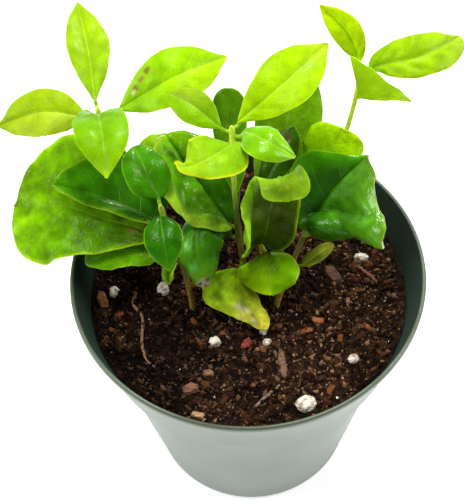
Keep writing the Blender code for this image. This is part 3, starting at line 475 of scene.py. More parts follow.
CRUMBS = {
    # stretch, cuts, number per square metre, smallest and largest in mm, tumble, finish, slot
    "peat_granules": ((1.2, 0.8, 0.6), 1, 420000, 0.8, 2.2, FULL_TURN, peat_grain, "peat_mix"),
    "fine_granules": ((1.3, 0.8, 0.6), 0, 1300000, 0.5, 1.2, FULL_TURN, peat_grain, "peat_mix"),
    "bark_crumbs": ((1.6, 0.9, 0.4), 1, 52000, 0.9, 2.8, 0.7, bark_grain, "bark"),
    "perlite_specks": ((1.0, 0.9, 0.8), 0, 26000, 0.4, 1.2, FULL_TURN, white_grain, "perlite"),
    "peat_fibres": ((6.0, 0.3, 0.3), 0, 90000, 0.4, 1.2, 0.5, fibre_grain, "dry_root"),
}
for seed, (crumb_name, values) in enumerate(CRUMBS.items()):
    stretch, cuts, density, smallest, largest, tumble, finish, slot = values
    pattern = grain_shape(f"{crumb_name}_pattern", cuts, stretch, 10.0 * seed)
    # no crumb lies so close to the wall that its longest half would reach through it
    skipped = math.ceil(max(stretch) * largest / 2 / (soil_radius / SOIL_RINGS))
    inner_faces = [face for face in top_faces if min(face) >= skipped * SOIL_SIDES]
    bed = new_piece(crumb_name, top_points, inner_faces, finish)
    layer = bed.modifiers.new("scatter", "NODES")
    layer.node_group = scatter
    layer[sockets["Shape"]] = pattern
    layer[sockets["Per Square Metre"]] = float(density)
    layer[sockets["Smallest"]] = smallest
    layer[sockets["Largest"]] = largest
    layer[sockets["Tumble"]] = tumble
    layer[sockets["Seed"]] = seed
    layer[sockets["Finish"]] = finish
    strewn = bpy.data.meshes.new_from_object(bed.evaluated_get(bpy.context.evaluated_depsgraph_get()))
    bed.modifiers.clear()
    bed.data = strewn
    bpy.data.objects.remove(pattern)
    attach(bed, "root")


# Perlite, bark and roots large enough to see one by one. Perlite is puffed volcanic glass,
# chalky and pitted; the bark chips are split pine; the roots are dead and dry.


def refined_copy(node, name, levels, finish, simple=False):
    """A copy of a solid, merged and subdivided, as a new piece."""
    shape = bmesh.new()
    shape.from_mesh(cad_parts[node].data)
    bmesh.ops.remove_doubles(shape, verts=shape.verts, dist=1e-6)
    bmesh.ops.join_triangles(shape, faces=shape.faces, angle_face_threshold=0.35, angle_shape_threshold=0.7)
    bmesh.ops.recalc_face_normals(shape, faces=shape.faces)
    mesh = bpy.data.meshes.new(name)
    shape.to_mesh(mesh)
    shape.free()
    mesh.materials.clear()
    mesh.materials.append(finish)
    mesh.shade_smooth()
    piece = bpy.data.objects.new(name, mesh)
    bpy.context.scene.collection.objects.link(piece)
    finer = piece.modifiers.new("finer", "SUBSURF")
    finer.subdivision_type = "SIMPLE" if simple else "CATMULL_CLARK"
    finer.levels = levels
    finer.render_levels = levels
    rounded = bpy.data.meshes.new_from_object(piece.evaluated_get(bpy.context.evaluated_depsgraph_get()))
    piece.modifiers.clear()
    piece.data = rounded
    return piece


def roughen(piece, depth, grain, stretch=(1.0, 1.0, 1.0), pits=0.0):
    """Push a piece's surface in and out by noise, and sink pits; depth and grain in millimetres."""
    normals = [v.normal.copy() for v in piece.data.vertices]
    for vertex, normal in zip(piece.data.vertices, normals):
        at = Vector([vertex.co[k] / (grain * stretch[k] * MM) for k in range(3)])
        push = noise.noise(at) + 0.5 * noise.noise(at * 2.3)
        push -= pits * max(0.0, noise.noise(at * 1.7 + Vector((7, 3, 1)))) ** 0.5
        vertex.co += normal * depth * MM * push


# Foam glass: chalk white and dull, with pits under 1 mm wide and brown dust in them
perlite, tree, shader = new_finish("puffed_perlite", 0.85, 1.4)
place = add_node(tree, "ShaderNodeTexCoord").outputs["Object"]
dust = add_node(tree, "ShaderNodeTexNoise", None, {"Vector": place, "Scale": 620.0, "Detail": 4.0})
pits = add_node(tree, "ShaderNodeTexVoronoi", None, {"Vector": place, "Scale": 1300.0})
stain = add_node(tree, "ShaderNodeMapRange", None, {VALUE: dust.outputs[0], LOW: 0.46, HIGH: 0.66})
chalk = add_node(tree, "ShaderNodeMix", {"data_type": "RGBA"},
                 {SHARE: stain.outputs[0], FIRST: linear("EEE4D6"), SECOND: linear("96785C")})
tree.links.new(chalk.outputs[MIXED], shader.inputs["Base Color"])
bump = add_node(tree, "ShaderNodeBump", None,
                {"Strength": 0.7, "Distance": 0.0003, "Height": pits.outputs[0]})
tree.links.new(bump.outputs[0], shader.inputs["Normal"])
for node in ("perlite_left", "perlite_middle", "perlite_right", "perlite_pair_a", "perlite_pair_b",
             "perlite_east", "perlite_front", "pebble_tan"):
    grain = refined_copy(node, f"{node}_grain", 2, perlite)
    roughen(grain, 0.28, 1.1, pits=0.7)
    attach(grain, "root")
    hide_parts(node)


def wood_finish(name, dark, light, along, roughness):
    """Split wood: matt, with fibres 4 mm long and 0.7 mm wide that run in one direction."""
    finish, tree, shader = new_finish(name, roughness, 1.45)
    place = add_node(tree, "ShaderNodeTexCoord").outputs["Object"]
    turned = add_node(tree, "ShaderNodeMapping", None,
                      {"Vector": place, "Rotation": (0.0, 0.0, math.radians(-along)),
                       "Scale": (250, 1500, 1500)})
    streaks = add_node(tree, "ShaderNodeTexNoise", None,
                       {"Vector": turned.outputs[0], "Scale": 1.0, "Detail": 4.0})
    mask = add_node(tree, "ShaderNodeMapRange", None, {VALUE: streaks.outputs[0], LOW: 0.35, HIGH: 0.65})
    tone = add_node(tree, "ShaderNodeMix", {"data_type": "RGBA"},
                    {SHARE: mask.outputs[0], FIRST: linear(dark), SECOND: linear(light)})
    tree.links.new(tone.outputs[MIXED], shader.inputs["Base Color"])
    bump = add_node(tree, "ShaderNodeBump", None,
                    {"Strength": 0.6, "Distance": 0.0003, "Height": streaks.outputs[0]})
    tree.links.new(bump.outputs[0], shader.inputs["Normal"])
    return finish


BARK_CHIPS = {
    # dark and light of the split wood, and the heading of its grain
    "bark_orange": ("7A3F22", "B5764A", 110), "bark_brown_left": ("4B2A1B", "7C5138", 20),
    "bark_red": ("5A1F12", "A04A2A", 60), "bark_brown_right": ("3C2318", "6E4A35", 120),
    "bark_strip": ("4A2E20", "8C6A50", 95), "bark_tan": ("7B5C3E", "B79468", 170),
    "bark_small": ("4B2C1C", "8A5F42", 0),
}
for node, (dark, light, heading) in BARK_CHIPS.items():
    split_pine = wood_finish(f"split_pine_{node}", dark, light, heading, 0.8)
    chip = refined_copy(node, f"{node}_chip", 3, split_pine, simple=True)
    roughen(chip, 0.22, 0.9)
    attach(chip, "root")
    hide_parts(node)
ROOTS = {
    "root_tan": ("6B4630", "A87A58", 80), "twig_red": ("5A2C1C", "96604A", 130),
    "twig_grey": ("5C4A3A", "9A8468", 40),
}
for node, (dark, light, heading) in ROOTS.items():
    dry_wood = wood_finish(f"dry_{node}", dark, light, heading, 0.75)
    root = refined_copy(node, f"{node}_fibre", 2, dry_wood)
    roughen(root, 0.15, 1.2)
    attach(root, "root")
    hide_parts(node)


# Stems. Five slender canes of soft green wood, brown and corky at the foot and bright green
# near the top, with a swelling at each node where a pair of leaves joins.

STEMS = {
    # the stem's path in millimetres, and its radius at the soil and at the tip
    "a": ([(-24, 7, 76), (-31, 21, 100), (-35, 26, 116), (-39, 25, 129)], (1.1, 0.7)),
    "b": ([(0, 1, 76), (-2, 6, 92), (-3, 9, 114), (-3, 12, 135)], (1.0, 0.7)),
    "c": ([(7, -7, 76), (15, 5, 92), (29, 28, 114), (32, 31, 135)], (1.0, 0.7)),
    "d": ([(4, 10, 76), (3, 11, 88), (3, 12, 98), (3, 14, 108)], (1.0, 0.8)),
    "s": ([(-16, -6, 76), (-18, 0, 88), (-21, 3, 100), (-23, 4, 113)], (1.0, 0.7)),
}
# Young bark: satin, with ridges 0.5 mm wide that run lengthwise, and corky brown below
stem_bark, tree, shader = new_finish("green_stem_bark", 0.5, 1.45)
place = add_node(tree, "ShaderNodeTexCoord").outputs["Object"]
height = add_node(tree, "ShaderNodeSeparateXYZ", None, {0: place}).outputs[2]
cork = add_node(tree, "ShaderNodeMapRange", None, {VALUE: height, LOW: 0.078, HIGH: 0.106})
green = add_node(tree, "ShaderNodeMapRange", None, {VALUE: height, LOW: 0.106, HIGH: 0.12})
lower = add_node(tree, "ShaderNodeMix", {"data_type": "RGBA"},
                 {SHARE: cork.outputs[0], FIRST: linear("A88838"), SECOND: linear("55702A")})
upper = add_node(tree, "ShaderNodeMix", {"data_type": "RGBA"},
                 {SHARE: green.outputs[0], FIRST: lower.outputs[MIXED], SECOND: linear("D0EC3C")})
flutes = add_node(tree, "ShaderNodeMapping", None, {"Vector": place, "Scale": (1800.0, 1800.0, 260.0)})
ridges = add_node(tree, "ShaderNodeTexNoise", None,
                  {"Vector": flutes.outputs[0], "Scale": 1.0, "Detail": 3.0})
depth = add_node(tree, "ShaderNodeMapRange", None,
                 {VALUE: ridges.outputs[0], LOW: 0.3, HIGH: 0.7, TO_LOW: 0.65, TO_HIGH: 1.2})
toned = add_node(tree, "ShaderNodeMix", {"data_type": "RGBA", "blend_type": "MULTIPLY"},
                 {SHARE: 1.0, FIRST: upper.outputs[MIXED], SECOND: depth.outputs[0]})
tree.links.new(toned.outputs[MIXED], shader.inputs["Base Color"])
bump = add_node(tree, "ShaderNodeBump", None,
                {"Strength": 0.4, "Distance": 0.0002, "Height": ridges.outputs[0]})
tree.links.new(bump.outputs[0], shader.inputs["Normal"])
for stem in STEMS:
    cane = refined_copy(f"stem_{stem}", f"stem_{stem}_bark", 2, stem_bark)
    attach(cane, "root")
    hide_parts(f"stem_{stem}")


# Leaf blades. Each is one sheet of living tissue on a short stalk, folded at its midrib and
# quilted between the side veins, with a smooth waxy upper face and a paler, duller lower one.

# Outlines of one half of a leaf from stalk to tip, as shares of its greatest width
LANCE = (0.0, 0.25, 0.74, 1.0, 0.74, 0.24, 0.0)
EGG = (0.0, 0.45, 0.92, 1.0, 0.7, 0.22, 0.0)
OVAL = (0.0, 0.6, 0.97, 1.0, 0.82, 0.42, 0.0)
ROUND = (0.0, 0.5, 0.87, 1.0, 0.87, 0.5, 0.0)
CORDATE = (0.42, 0.62, 0.82, 0.97, 1.0, 0.88, 0.47, 0.15, 0.0)
BLUNT = (0.0, 0.3, 0.7, 0.95, 1.0, 0.8, 0.2)
GRID_STEP = 0.75  # between the points of a blade
FEWEST_ROWS, MOST_ROWS = 24, 80
FEWEST_COLUMNS, MOST_COLUMNS = 8, 24
STEM_SAMPLES, RIB_SAMPLES = 60, 300
STALK_ROWS = 6
STALK_HALF = 0.5
STALK_RISE = 0.3  # a stalk leaves its stem flatter than it goes on
STEM_CLEARANCE = 0.45
STALK_ROOT = 1.2
LOBE_SHARE, LOBE_PLACE = 0.22, 0.5  # how far up the blade a lobe at its base reaches
BLADE_HALF = 0.28
LEAST_REACH = 0.4
NARROW = 3.0  # a half narrower than this folds and curls less
VEIN_LEAN = 0.16  # how far a side vein climbs on its way to the margin
GROOVE_DEPTH, GROOVE_WIDTH = 0.22, 0.5  # along the rib on the upper face
KEEL = 0.2  # of the rib under the lower face
BITES, FINE_BITES = 7.0, 19.0  # number along a ragged margin
FRILLS, FRILL_SHARE = 3.1, 0.25  # small waves for each large one, and their height
BENDS_PER_MM, WRINKLES_PER_MM, SPECKLES_PER_MM = 0.16, 0.33, 0.7


def curve_through(values, at):
    """A smooth curve through evenly spaced values, read at places from 0 to 1."""
    values = np.asarray(values, float)
    if values.ndim == 0:
        return np.full(len(at), float(values))
    padded = np.concatenate([2 * values[:1] - values[1:2], values, 2 * values[-1:] - values[-2:-1]])
    place = np.asarray(at) * (len(values) - 1)
    start = np.minimum(place.astype(int), len(values) - 2)
    part = place - start
    if values.ndim == 2:
        part = part[:, None]
    a, b, c, d = (padded[start + k] for k in range(4))
    bend = (2 * a - 5 * b + 4 * c - d) * part ** 2 + (3 * b - a - 3 * c + d) * part ** 3
    return 0.5 * (2 * b + (c - a) * part + bend)


def unit(vectors):
    """The vectors at length 1."""
    return vectors / np.linalg.norm(vectors, axis=-1, keepdims=True)


def smooth_step(values):
    """An even S-curve from 0 to 1."""
    values = np.clip(values, 0, 1)
    return values * values * (3 - 2 * values)


def leaf_finish(name, roughness, side_veins, pale_veins, quilt, coat, patchy):
    """Living leaf tissue, in the blade's own colours, with patches of 4 mm and a net of 1 mm cells.

    Its veins follow the leaf's own axes: the place along the rib from 0 at the stalk to 1 at the
    tip, the place across from -1 to 1, and the width of that half in millimetres.
    """
    finish, tree, shader = new_finish(name, roughness, 1.42)
    blade = add_node(tree, "ShaderNodeAttribute", {"attribute_name": "blade"}).outputs["Color"]
    axes = add_node(tree, "ShaderNodeAttribute", {"attribute_name": "axes"}).outputs["Vector"]
    axes = add_node(tree, "ShaderNodeSeparateXYZ", None, {0: axes}).outputs
    off = add_node(tree, "ShaderNodeMath", {"operation": "ABSOLUTE"}, {0: axes[1]}).outputs[0]
    lean = add_node(tree, "ShaderNodeMath", {"operation": "MULTIPLY"}, {0: off, 1: VEIN_LEAN}).outputs[0]
    rise = add_node(tree, "ShaderNodeMath", {"operation": "SUBTRACT"}, {0: axes[0], 1: lean}).outputs[0]
    left = add_node(tree, "ShaderNodeMath", {"operation": "LESS_THAN"}, {0: axes[1], 1: 0.0}).outputs[0]
    half = add_node(tree, "ShaderNodeMath", {"operation": "MULTIPLY"}, {0: left, 1: 0.5}).outputs[0]
    count = add_node(tree, "ShaderNodeMath", {"operation": "MULTIPLY_ADD"},
                     {0: rise, 1: side_veins, 2: half}).outputs[0]
    step = add_node(tree, "ShaderNodeMath", {"operation": "FRACT"}, {0: count}).outputs[0]
    away = add_node(tree, "ShaderNodeMath", {"operation": "SUBTRACT"}, {0: step, 1: 0.5}).outputs[0]
    away = add_node(tree, "ShaderNodeMath", {"operation": "ABSOLUTE"}, {0: away}).outputs[0]
    vein = add_node(tree, "ShaderNodeMapRange", {"interpolation_type": "SMOOTHSTEP"},
                    {VALUE: away, LOW: 0.46, HIGH: 0.5}).outputs[0]
    fade = add_node(tree, "ShaderNodeMapRange", None,
                    {VALUE: off, LOW: 0.6, HIGH: 0.95, TO_LOW: 1.0, TO_HIGH: 0.0}).outputs[0]
    vein = add_node(tree, "ShaderNodeMath", {"operation": "MULTIPLY"}, {0: vein, 1: fade}).outputs[0]
    reach = add_node(tree, "ShaderNodeMath", {"operation": "MULTIPLY"}, {0: off, 1: axes[2]}).outputs[0]
    rib = add_node(tree, "ShaderNodeMapRange", {"interpolation_type": "SMOOTHSTEP"},
                   {VALUE: reach, LOW: 0.08, HIGH: 0.34, TO_LOW: 1.0, TO_HIGH: 0.0}).outputs[0]
    tip = add_node(tree, "ShaderNodeMapRange", None,
                   {VALUE: axes[0], LOW: 0.55, HIGH: 0.92, TO_LOW: 1.0, TO_HIGH: 0.0}).outputs[0]
    rib = add_node(tree, "ShaderNodeMath", {"operation": "MULTIPLY"}, {0: rib, 1: tip}).outputs[0]
    ribs = add_node(tree, "ShaderNodeMath", {"operation": "MULTIPLY_ADD", "use_clamp": True},
                    {0: vein, 1: 0.45, 2: rib}).outputs[0]
    shown = add_node(tree, "ShaderNodeMath", {"operation": "MULTIPLY"}, {0: ribs, 1: pale_veins}).outputs[0]
    pale = add_node(tree, "ShaderNodeMix", {"data_type": "RGBA"},
                    {SHARE: 0.35, FIRST: blade, SECOND: linear("D4EC60")}).outputs[MIXED]
    veined = add_node(tree, "ShaderNodeMix", {"data_type": "RGBA"},
                      {SHARE: shown, FIRST: blade, SECOND: pale}).outputs[MIXED]
    # a pale line along every margin is painted light, where the thin edge lets light through
    inward = add_node(tree, "ShaderNodeMath", {"operation": "SUBTRACT"}, {0: 1.0, 1: off}).outputs[0]
    inward = add_node(tree, "ShaderNodeMath", {"operation": "MULTIPLY"}, {0: inward, 1: axes[2]}).outputs[0]
    painted_edge_light = add_node(tree, "ShaderNodeMapRange", None,
                   {VALUE: inward, LOW: 0.1, HIGH: 0.4, TO_LOW: 0.3, TO_HIGH: 0.0}).outputs[0]
    edge_lit = add_node(tree, "ShaderNodeMix", {"data_type": "RGBA"},
                     {SHARE: painted_edge_light, FIRST: veined, SECOND: linear("C0E028")}).outputs[MIXED]
    place = add_node(tree, "ShaderNodeTexCoord").outputs["Object"]
    patch = add_node(tree, "ShaderNodeTexNoise", None,
                     {"Vector": place, "Scale": 240.0, "Detail": 5.0}).outputs[0]
    darkest, palest = 1 - patchy, 1 + 0.65 * patchy
    patch = add_node(tree, "ShaderNodeMapRange", None,
                     {VALUE: patch, LOW: 0.3, HIGH: 0.7, TO_LOW: darkest, TO_HIGH: palest}).outputs[0]
    toned = add_node(tree, "ShaderNodeMix", {"data_type": "RGBA", "blend_type": "MULTIPLY"},
                     {SHARE: 1.0, FIRST: edge_lit, SECOND: patch}).outputs[MIXED]
    net = add_node(tree, "ShaderNodeTexVoronoi", {"feature": "DISTANCE_TO_EDGE"},
                   {"Vector": place, "Scale": 900.0}).outputs[0]
    netted = add_node(tree, "ShaderNodeMapRange", None,
                      {VALUE: net, LOW: 0.0, HIGH: 0.2, TO_LOW: 1.07, TO_HIGH: 0.98}).outputs[0]
    fine = add_node(tree, "ShaderNodeMix", {"data_type": "RGBA", "blend_type": "MULTIPLY"},
                    {SHARE: 1.0, FIRST: toned, SECOND: netted}).outputs[MIXED]
    tree.links.new(fine, shader.inputs["Base Color"])
    net = add_node(tree, "ShaderNodeMath", {"operation": "MULTIPLY"}, {0: net, 1: quilt}).outputs[0]
    relief = add_node(tree, "ShaderNodeMath", {"operation": "MULTIPLY_ADD"},
                      {0: ribs, 1: -0.5, 2: net}).outputs[0]
    bump = add_node(tree, "ShaderNodeBump", None,
                    {"Strength": 0.5, "Distance": 0.0003, "Height": relief}).outputs[0]
    tree.links.new(bump, shader.inputs["Normal"])
    dull = add_node(tree, "ShaderNodeMapRange", None,
                    {VALUE: patch, LOW: darkest, HIGH: palest,
                     TO_LOW: roughness + 0.08, TO_HIGH: roughness - 0.05}).outputs[0]
    tree.links.new(dull, shader.inputs["Roughness"])
    shader.inputs["Specular IOR Level"].default_value = 0.3
    shader.inputs["Specular Tint"].default_value = linear("D0F038")
    shader.inputs["Coat Weight"].default_value = coat
    shader.inputs["Coat Roughness"].default_value = 0.09
    tree.links.new(bump, shader.inputs["Coat Normal"])
    return finish


# Soft new growth is satin; grown leaves are glossy, with a wax coat; a dying leaf is dull
YOUNG_VEINS, GROWN_VEINS, DARK_VEINS = 8.0, 6.0, 7.0
young_leaf = leaf_finish("young_coffee_leaf", roughness=0.45, side_veins=YOUNG_VEINS, pale_veins=0.6,
                         quilt=0.5, coat=0.05, patchy=0.22)
glossy_young_leaf = leaf_finish("glossy_young_coffee_leaf", roughness=0.4, side_veins=YOUNG_VEINS,
                                pale_veins=0.6, quilt=0.5, coat=0.4, patchy=0.22)
mature_leaf = leaf_finish("grown_coffee_seed_leaf", roughness=0.4, side_veins=GROWN_VEINS,
                          pale_veins=0.4, quilt=0.8, coat=0.12, patchy=0.38)
glossy_mature_leaf = leaf_finish("glossy_coffee_seed_leaf", roughness=0.32, side_veins=GROWN_VEINS,
                                 pale_veins=0.35, quilt=0.8, coat=0.55, patchy=0.38)
dark_leaf = leaf_finish("waxy_dark_coffee_leaf", roughness=0.38, side_veins=DARK_VEINS,
                        pale_veins=0.22, quilt=0.5, coat=0.22, patchy=0.38)
dying_leaf = leaf_finish("yellowing_seed_leaf", roughness=0.6, side_veins=GROWN_VEINS,
                         pale_veins=0.5, quilt=1.2, coat=0.0, patchy=0.6)
LEAF_KINDS = {
    # slot, and number of side veins on each half
    young_leaf: ("young_leaf", YOUNG_VEINS), glossy_young_leaf: ("young_leaf", YOUNG_VEINS),
    mature_leaf: ("mature_leaf", GROWN_VEINS), glossy_mature_leaf: ("mature_leaf", GROWN_VEINS),
    dark_leaf: ("dark_leaf", DARK_VEINS), dying_leaf: ("yellowing_leaf", GROWN_VEINS),
}


def stem_at(stem, height):
    """Place and radius of a stem at a height."""
    path, (low, high) = STEMS[stem]
    line = curve_through(np.array(path, float), np.linspace(0, 1, STEM_SAMPLES))
    place = np.array([np.interp(height, line[:, 2], line[:, k]) for k in range(3)])
    return place, float(np.interp(height, [path[0][2], path[-1][2]], [low, high]))


def leaf_axes(stem, height, path, left, right, face, stalk, wave, rolled, turn, lobe, ragged):
    """The leaf's middle surface as a grid of points, with each row's place and half widths."""
    # the rib: from just clear of the stem, out along the stalk, and through the path
    start, radius = stem_at(stem, height)
    out = np.array(path[0], float) - start
    out[2] *= STALK_RISE
    out = unit(out)
    offset = radius + STEM_CLEARANCE
    points = np.array([start + offset * out, start + (offset + STALK_ROOT) * out]
                      + [np.array(p, float) for p in path])
    fine = curve_through(points, np.linspace(0, 1, RIB_SAMPLES))
    walked = np.concatenate([[0.0], np.cumsum(np.linalg.norm(np.diff(fine, axis=0), axis=1))])
    rows = int(np.clip((walked[-1] - stalk) / GRID_STEP * 1.2, FEWEST_ROWS, MOST_ROWS))
    place = np.linspace(0, 1, rows)
    stations = stalk + (1 - np.cos(math.pi * place)) / 2 * (walked[-1] - stalk)
    stations = np.concatenate([np.linspace(0, stalk, STALK_ROWS + 1)[:-1], stations])
    place = np.concatenate([np.zeros(STALK_ROWS), place])
    rib = np.stack([np.interp(stations, walked, fine[:, k]) for k in range(3)], 1)

    # the direction that the upper face looks in, turned along the rib where the leaf rolls
    tangent = unit(np.gradient(rib, stations, axis=0))
    face = np.array(face, float)
    normal = unit(face - (tangent @ face)[:, None] * tangent)
    if rolled is not None:
        first = STALK_ROWS + round(rolled * (rows - 1))
        for i in list(range(first + 1, len(normal))) + list(range(first - 1, -1, -1)):
            last = i - 1 if i > first else i + 1
            slip = (normal[last] @ tangent[i]) / (1 + tangent[i] @ tangent[last])
            normal[i] = unit(normal[last] - slip * (tangent[i] + tangent[last]))
    side = np.cross(tangent, normal)
    turn = np.radians(curve_through(turn, place))[:, None]
    side, normal = (side * np.cos(turn) + normal * np.sin(turn),
                    normal * np.cos(turn) - side * np.sin(turn))
    rib[0] = start

    # the two halves, each folded up from the rib, curled, rippled, and lobed at its base
    columns = int(np.clip(max(left[0], right[0]) / GRID_STEP, FEWEST_COLUMNS, MOST_COLUMNS))
    spread = np.linspace(-1, 1, 2 * columns + 1)
    grid = np.zeros((len(stations), len(spread), 3))
    reaches = np.zeros(grid.shape[:2])
    amount, count, phase = wave
    lobes = lobe * np.exp(-(place / LOBE_SHARE) ** 2)
    lobes[:STALK_ROWS] = 0.0
    backwards = -tangent[STALK_ROWS + round(LOBE_PLACE * (rows - 1))]
    for hand, (width, outline, fold, curl) in ((-1, left), (1, right)):
        bites = [noise.noise(Vector((p * BITES, 3.0 * hand, path[0][0])))
                 + 0.5 * noise.noise(Vector((p * FINE_BITES, 5.0 * hand, path[0][1]))) for p in place]
        reach = width * curve_through(outline, place) * (1 + ragged * np.array(bites))
        reach = np.maximum(reach, LEAST_REACH)
        reach[:STALK_ROWS] = STALK_HALF
        reach[STALK_ROWS:] = np.maximum(reach[STALK_ROWS:], STALK_HALF * (1 - 3 * place[STALK_ROWS:]))
        fold = np.radians(curve_through(fold, place)) * np.minimum(1, reach / NARROW)
        curl = np.radians(curve_through(curl, place)) * np.minimum(1, reach / NARROW)
        curl = np.where(np.abs(curl) < 0.01, 0.01, curl)
        ripple = np.sin(2 * math.pi * (count * place + phase + 0.3 * hand)) * amount / width
        frill = np.sin(2 * math.pi * (FRILLS * count * place + hand)) * FRILL_SHARE * amount / width
        for column in range(len(spread)):
            v = hand * spread[column]
            if v < 0:
                continue
            sideways = reach * (np.sin(fold + curl * v) - np.sin(fold)) / curl
            upwards = reach * (np.cos(fold) - np.cos(fold + curl * v)) / curl
            upwards = upwards + (ripple * v ** 2 + frill * v ** 5) * reach
            grid[:, column] = rib + hand * sideways[:, None] * side + upwards[:, None] * normal
            grid[:, column] += lobes[:, None] * v ** 2 * backwards
            reaches[:, column] = reach
    return grid, place, spread, reaches, walked[-1] - stalk


def make_leaf(name, finish, stem, height, path, left, right, tint, right_tint=None, under=None,
              face=(0, 0, 1), stalk=2.0, wave=(0.0, 2, 0.0), rolled=None, turn=0.0, lobe=0.0,
              ragged=0.05, quilt=0.16, rumple=0.25, rolls=(), mottle=0.1, margin=None,
              right_margin=None, spots=()):
    """One leaf: its shape as in the solid, and its colours from stalk to tip on each half.

    It leaves its stem at a height, and its rib runs through the path. The left and right halves
    have a width, an outline, a fold up from the rib and a curl in degrees. A wave has a height,
    a number and a start. Each roll is a route over the blade, with its radius and its height. A
    margin has a colour, a width and a strength, and so has each spot, at its place on the leaf.
    """
    slot, side_veins = LEAF_KINDS[finish]
    grid, place, spread, reaches, length = leaf_axes(stem, height, path, left, right, face, stalk,
                                                     wave, rolled, turn, lobe, ragged)
    rows, columns = grid.shape[:2]

    # relief of the whole sheet: slow bends all over it, and edges that have rolled up
    normal = unit(np.cross(np.gradient(grid, axis=1), np.gradient(grid, axis=0)))
    off = np.abs(spread)[None, :]
    blade = (np.arange(rows) >= STALK_ROWS)[:, None] * np.minimum(1.0, 4 * place)[:, None]
    wander = np.array([[noise.noise(Vector(p) * SPECKLES_PER_MM) for p in row] for row in grid])
    sway = np.array([[noise.noise(Vector(p) * BENDS_PER_MM) + 0.5 * noise.noise(Vector(p) * WRINKLES_PER_MM)
                      for p in row] for row in grid])
    lift = rumple * sway * blade * np.minimum(1.0, off * reaches / 2.5)
    for route, radius, swell in rolls:
        ends = [grid[STALK_ROWS + int(p * (rows - STALK_ROWS - 1)), int((1 + v) / 2 * (columns - 1))]
                for p, v in route]
        nearest = np.full(grid.shape[:2], 1e3)
        for a, b in zip(ends[:-1], ends[1:]):
            part = np.clip(((grid - a) @ (b - a)) / ((b - a) @ (b - a)), 0, 1)
            nearest = np.minimum(nearest, np.linalg.norm(grid - a - part[:, :, None] * (b - a), axis=2))
        lift = lift + swell * np.sqrt(np.clip(1 - (nearest / radius) ** 2, 0, 1)) * blade
    grid = grid + normal * lift[:, :, None]
    normal = unit(np.cross(np.gradient(grid, axis=1), np.gradient(grid, axis=0)))

    # thickness: puffed up between the side veins, grooved along the rib, and round at the stalk
    stage = (place[:, None] - VEIN_LEAN * off) * side_veins + 0.5 * (spread < 0)[None, :]
    away = np.abs(stage - np.floor(stage) - 0.5)
    puff = quilt * (1 - smooth_step((away - 0.2) / 0.3)) * (1 - off ** 3)
    puff = puff * np.minimum(1, off * reaches / 1.5)
    at_rib = np.exp(-(off * reaches / GROOVE_WIDTH) ** 2)
    half = BLADE_HALF * (1 - 0.6 * off ** 4)
    round_stalk = STALK_HALF * np.sqrt(np.maximum(0.03, 1 - off ** 2))
    half = blade * half + (1 - blade) * round_stalk
    raised = blade * (puff - GROOVE_DEPTH * at_rib)
    top = grid + normal * (half + raised)[:, :, None]
    bottom = grid - normal * (half - raised + KEEL * blade * at_rib)[:, :, None]

    # a closed skin of the two faces and the rim between them
    count = rows * columns
    faces = []
    for i in range(rows - 1):
        for j in range(columns - 1):
            a = i * columns + j
            faces.append((a, a + 1, a + columns + 1, a + columns))
            faces.append((count + a, count + a + columns, count + a + columns + 1, count + a + 1))
    loop = list(range(columns)) + [i * columns + columns - 1 for i in range(1, rows)]
    loop += [(rows - 1) * columns + j for j in range(columns - 2, -1, -1)]
    loop += [i * columns for i in range(rows - 2, 0, -1)]
    for k, a in enumerate(loop):
        b = loop[(k + 1) % len(loop)]
        faces.append((a, count + a, count + b, b))
    piece = new_piece(f"{name}_blade", np.concatenate([top.reshape(-1, 3), bottom.reshape(-1, 3)]),
                      faces, finish, 75.0)

    # colour of each point: along the rib, paler or darker in patches, with margins and spots
    halves = []
    for stops in (tint, right_tint or tint):
        colours = np.array([linear(c)[:3] for c in stops.split()])
        halves.append(curve_through(colours, place).clip(0.0, 1.0))
    share = smooth_step((spread + 0.15) / 0.3)[None, :, None]
    colour = halves[0][:, None] * (1 - share) + halves[1][:, None] * share
    for hand, edging in ((-1, margin), (1, right_margin or margin)):
        if edging:
            code, width, strength = edging
            near = np.exp(-((1 - hand * spread) * reaches / width) ** 2)[:, :, None] * strength
            colour = colour * (1 - near) + np.array(linear(code)[:3]) * near
    colour = colour * (1 + mottle * (sway + 0.6 * wander))[:, :, None]
    for along, across, size, code, strength in spots:
        gap = np.hypot((place[:, None] - along) * length, (spread[None, :] - across) * reaches)
        near = 1 - smooth_step((gap / size + 0.8 * wander - 0.5) / 0.8)
        near = (near * strength * (blade > 0))[:, :, None]
        colour = colour * (1 - near) + np.array(linear(code)[:3]) * near
    # the lower face is paler and greyer than the upper one, or has a colour of its own
    if under is None:
        below = 0.75 * colour + 0.06
    else:
        below = 0.3 * colour + 0.7 * np.array(linear(under)[:3])
    both = np.concatenate([colour.reshape(-1, 3), below.reshape(-1, 3)]).clip(0.0, 1.0)
    paint = piece.data.attributes.new("blade", "FLOAT_COLOR", "POINT")
    paint.data.foreach_set("color", np.concatenate([both, np.ones((len(both), 1))], 1).ravel())
    own = np.stack([np.broadcast_to(place[:, None], reaches.shape),
                    np.broadcast_to(spread[None, :], reaches.shape), reaches], 2).reshape(-1, 3)
    axes = piece.data.attributes.new("axes", "FLOAT_VECTOR", "POINT")
    axes.data.foreach_set("vector", np.concatenate([own, own]).ravel())
    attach(piece, "root")
    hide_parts(name)


# Leaves of the tall seedling at the left. Four new leaves stand crosswise about its tip, thin
# and bright yellow-green, and one seed leaf is left lower down.

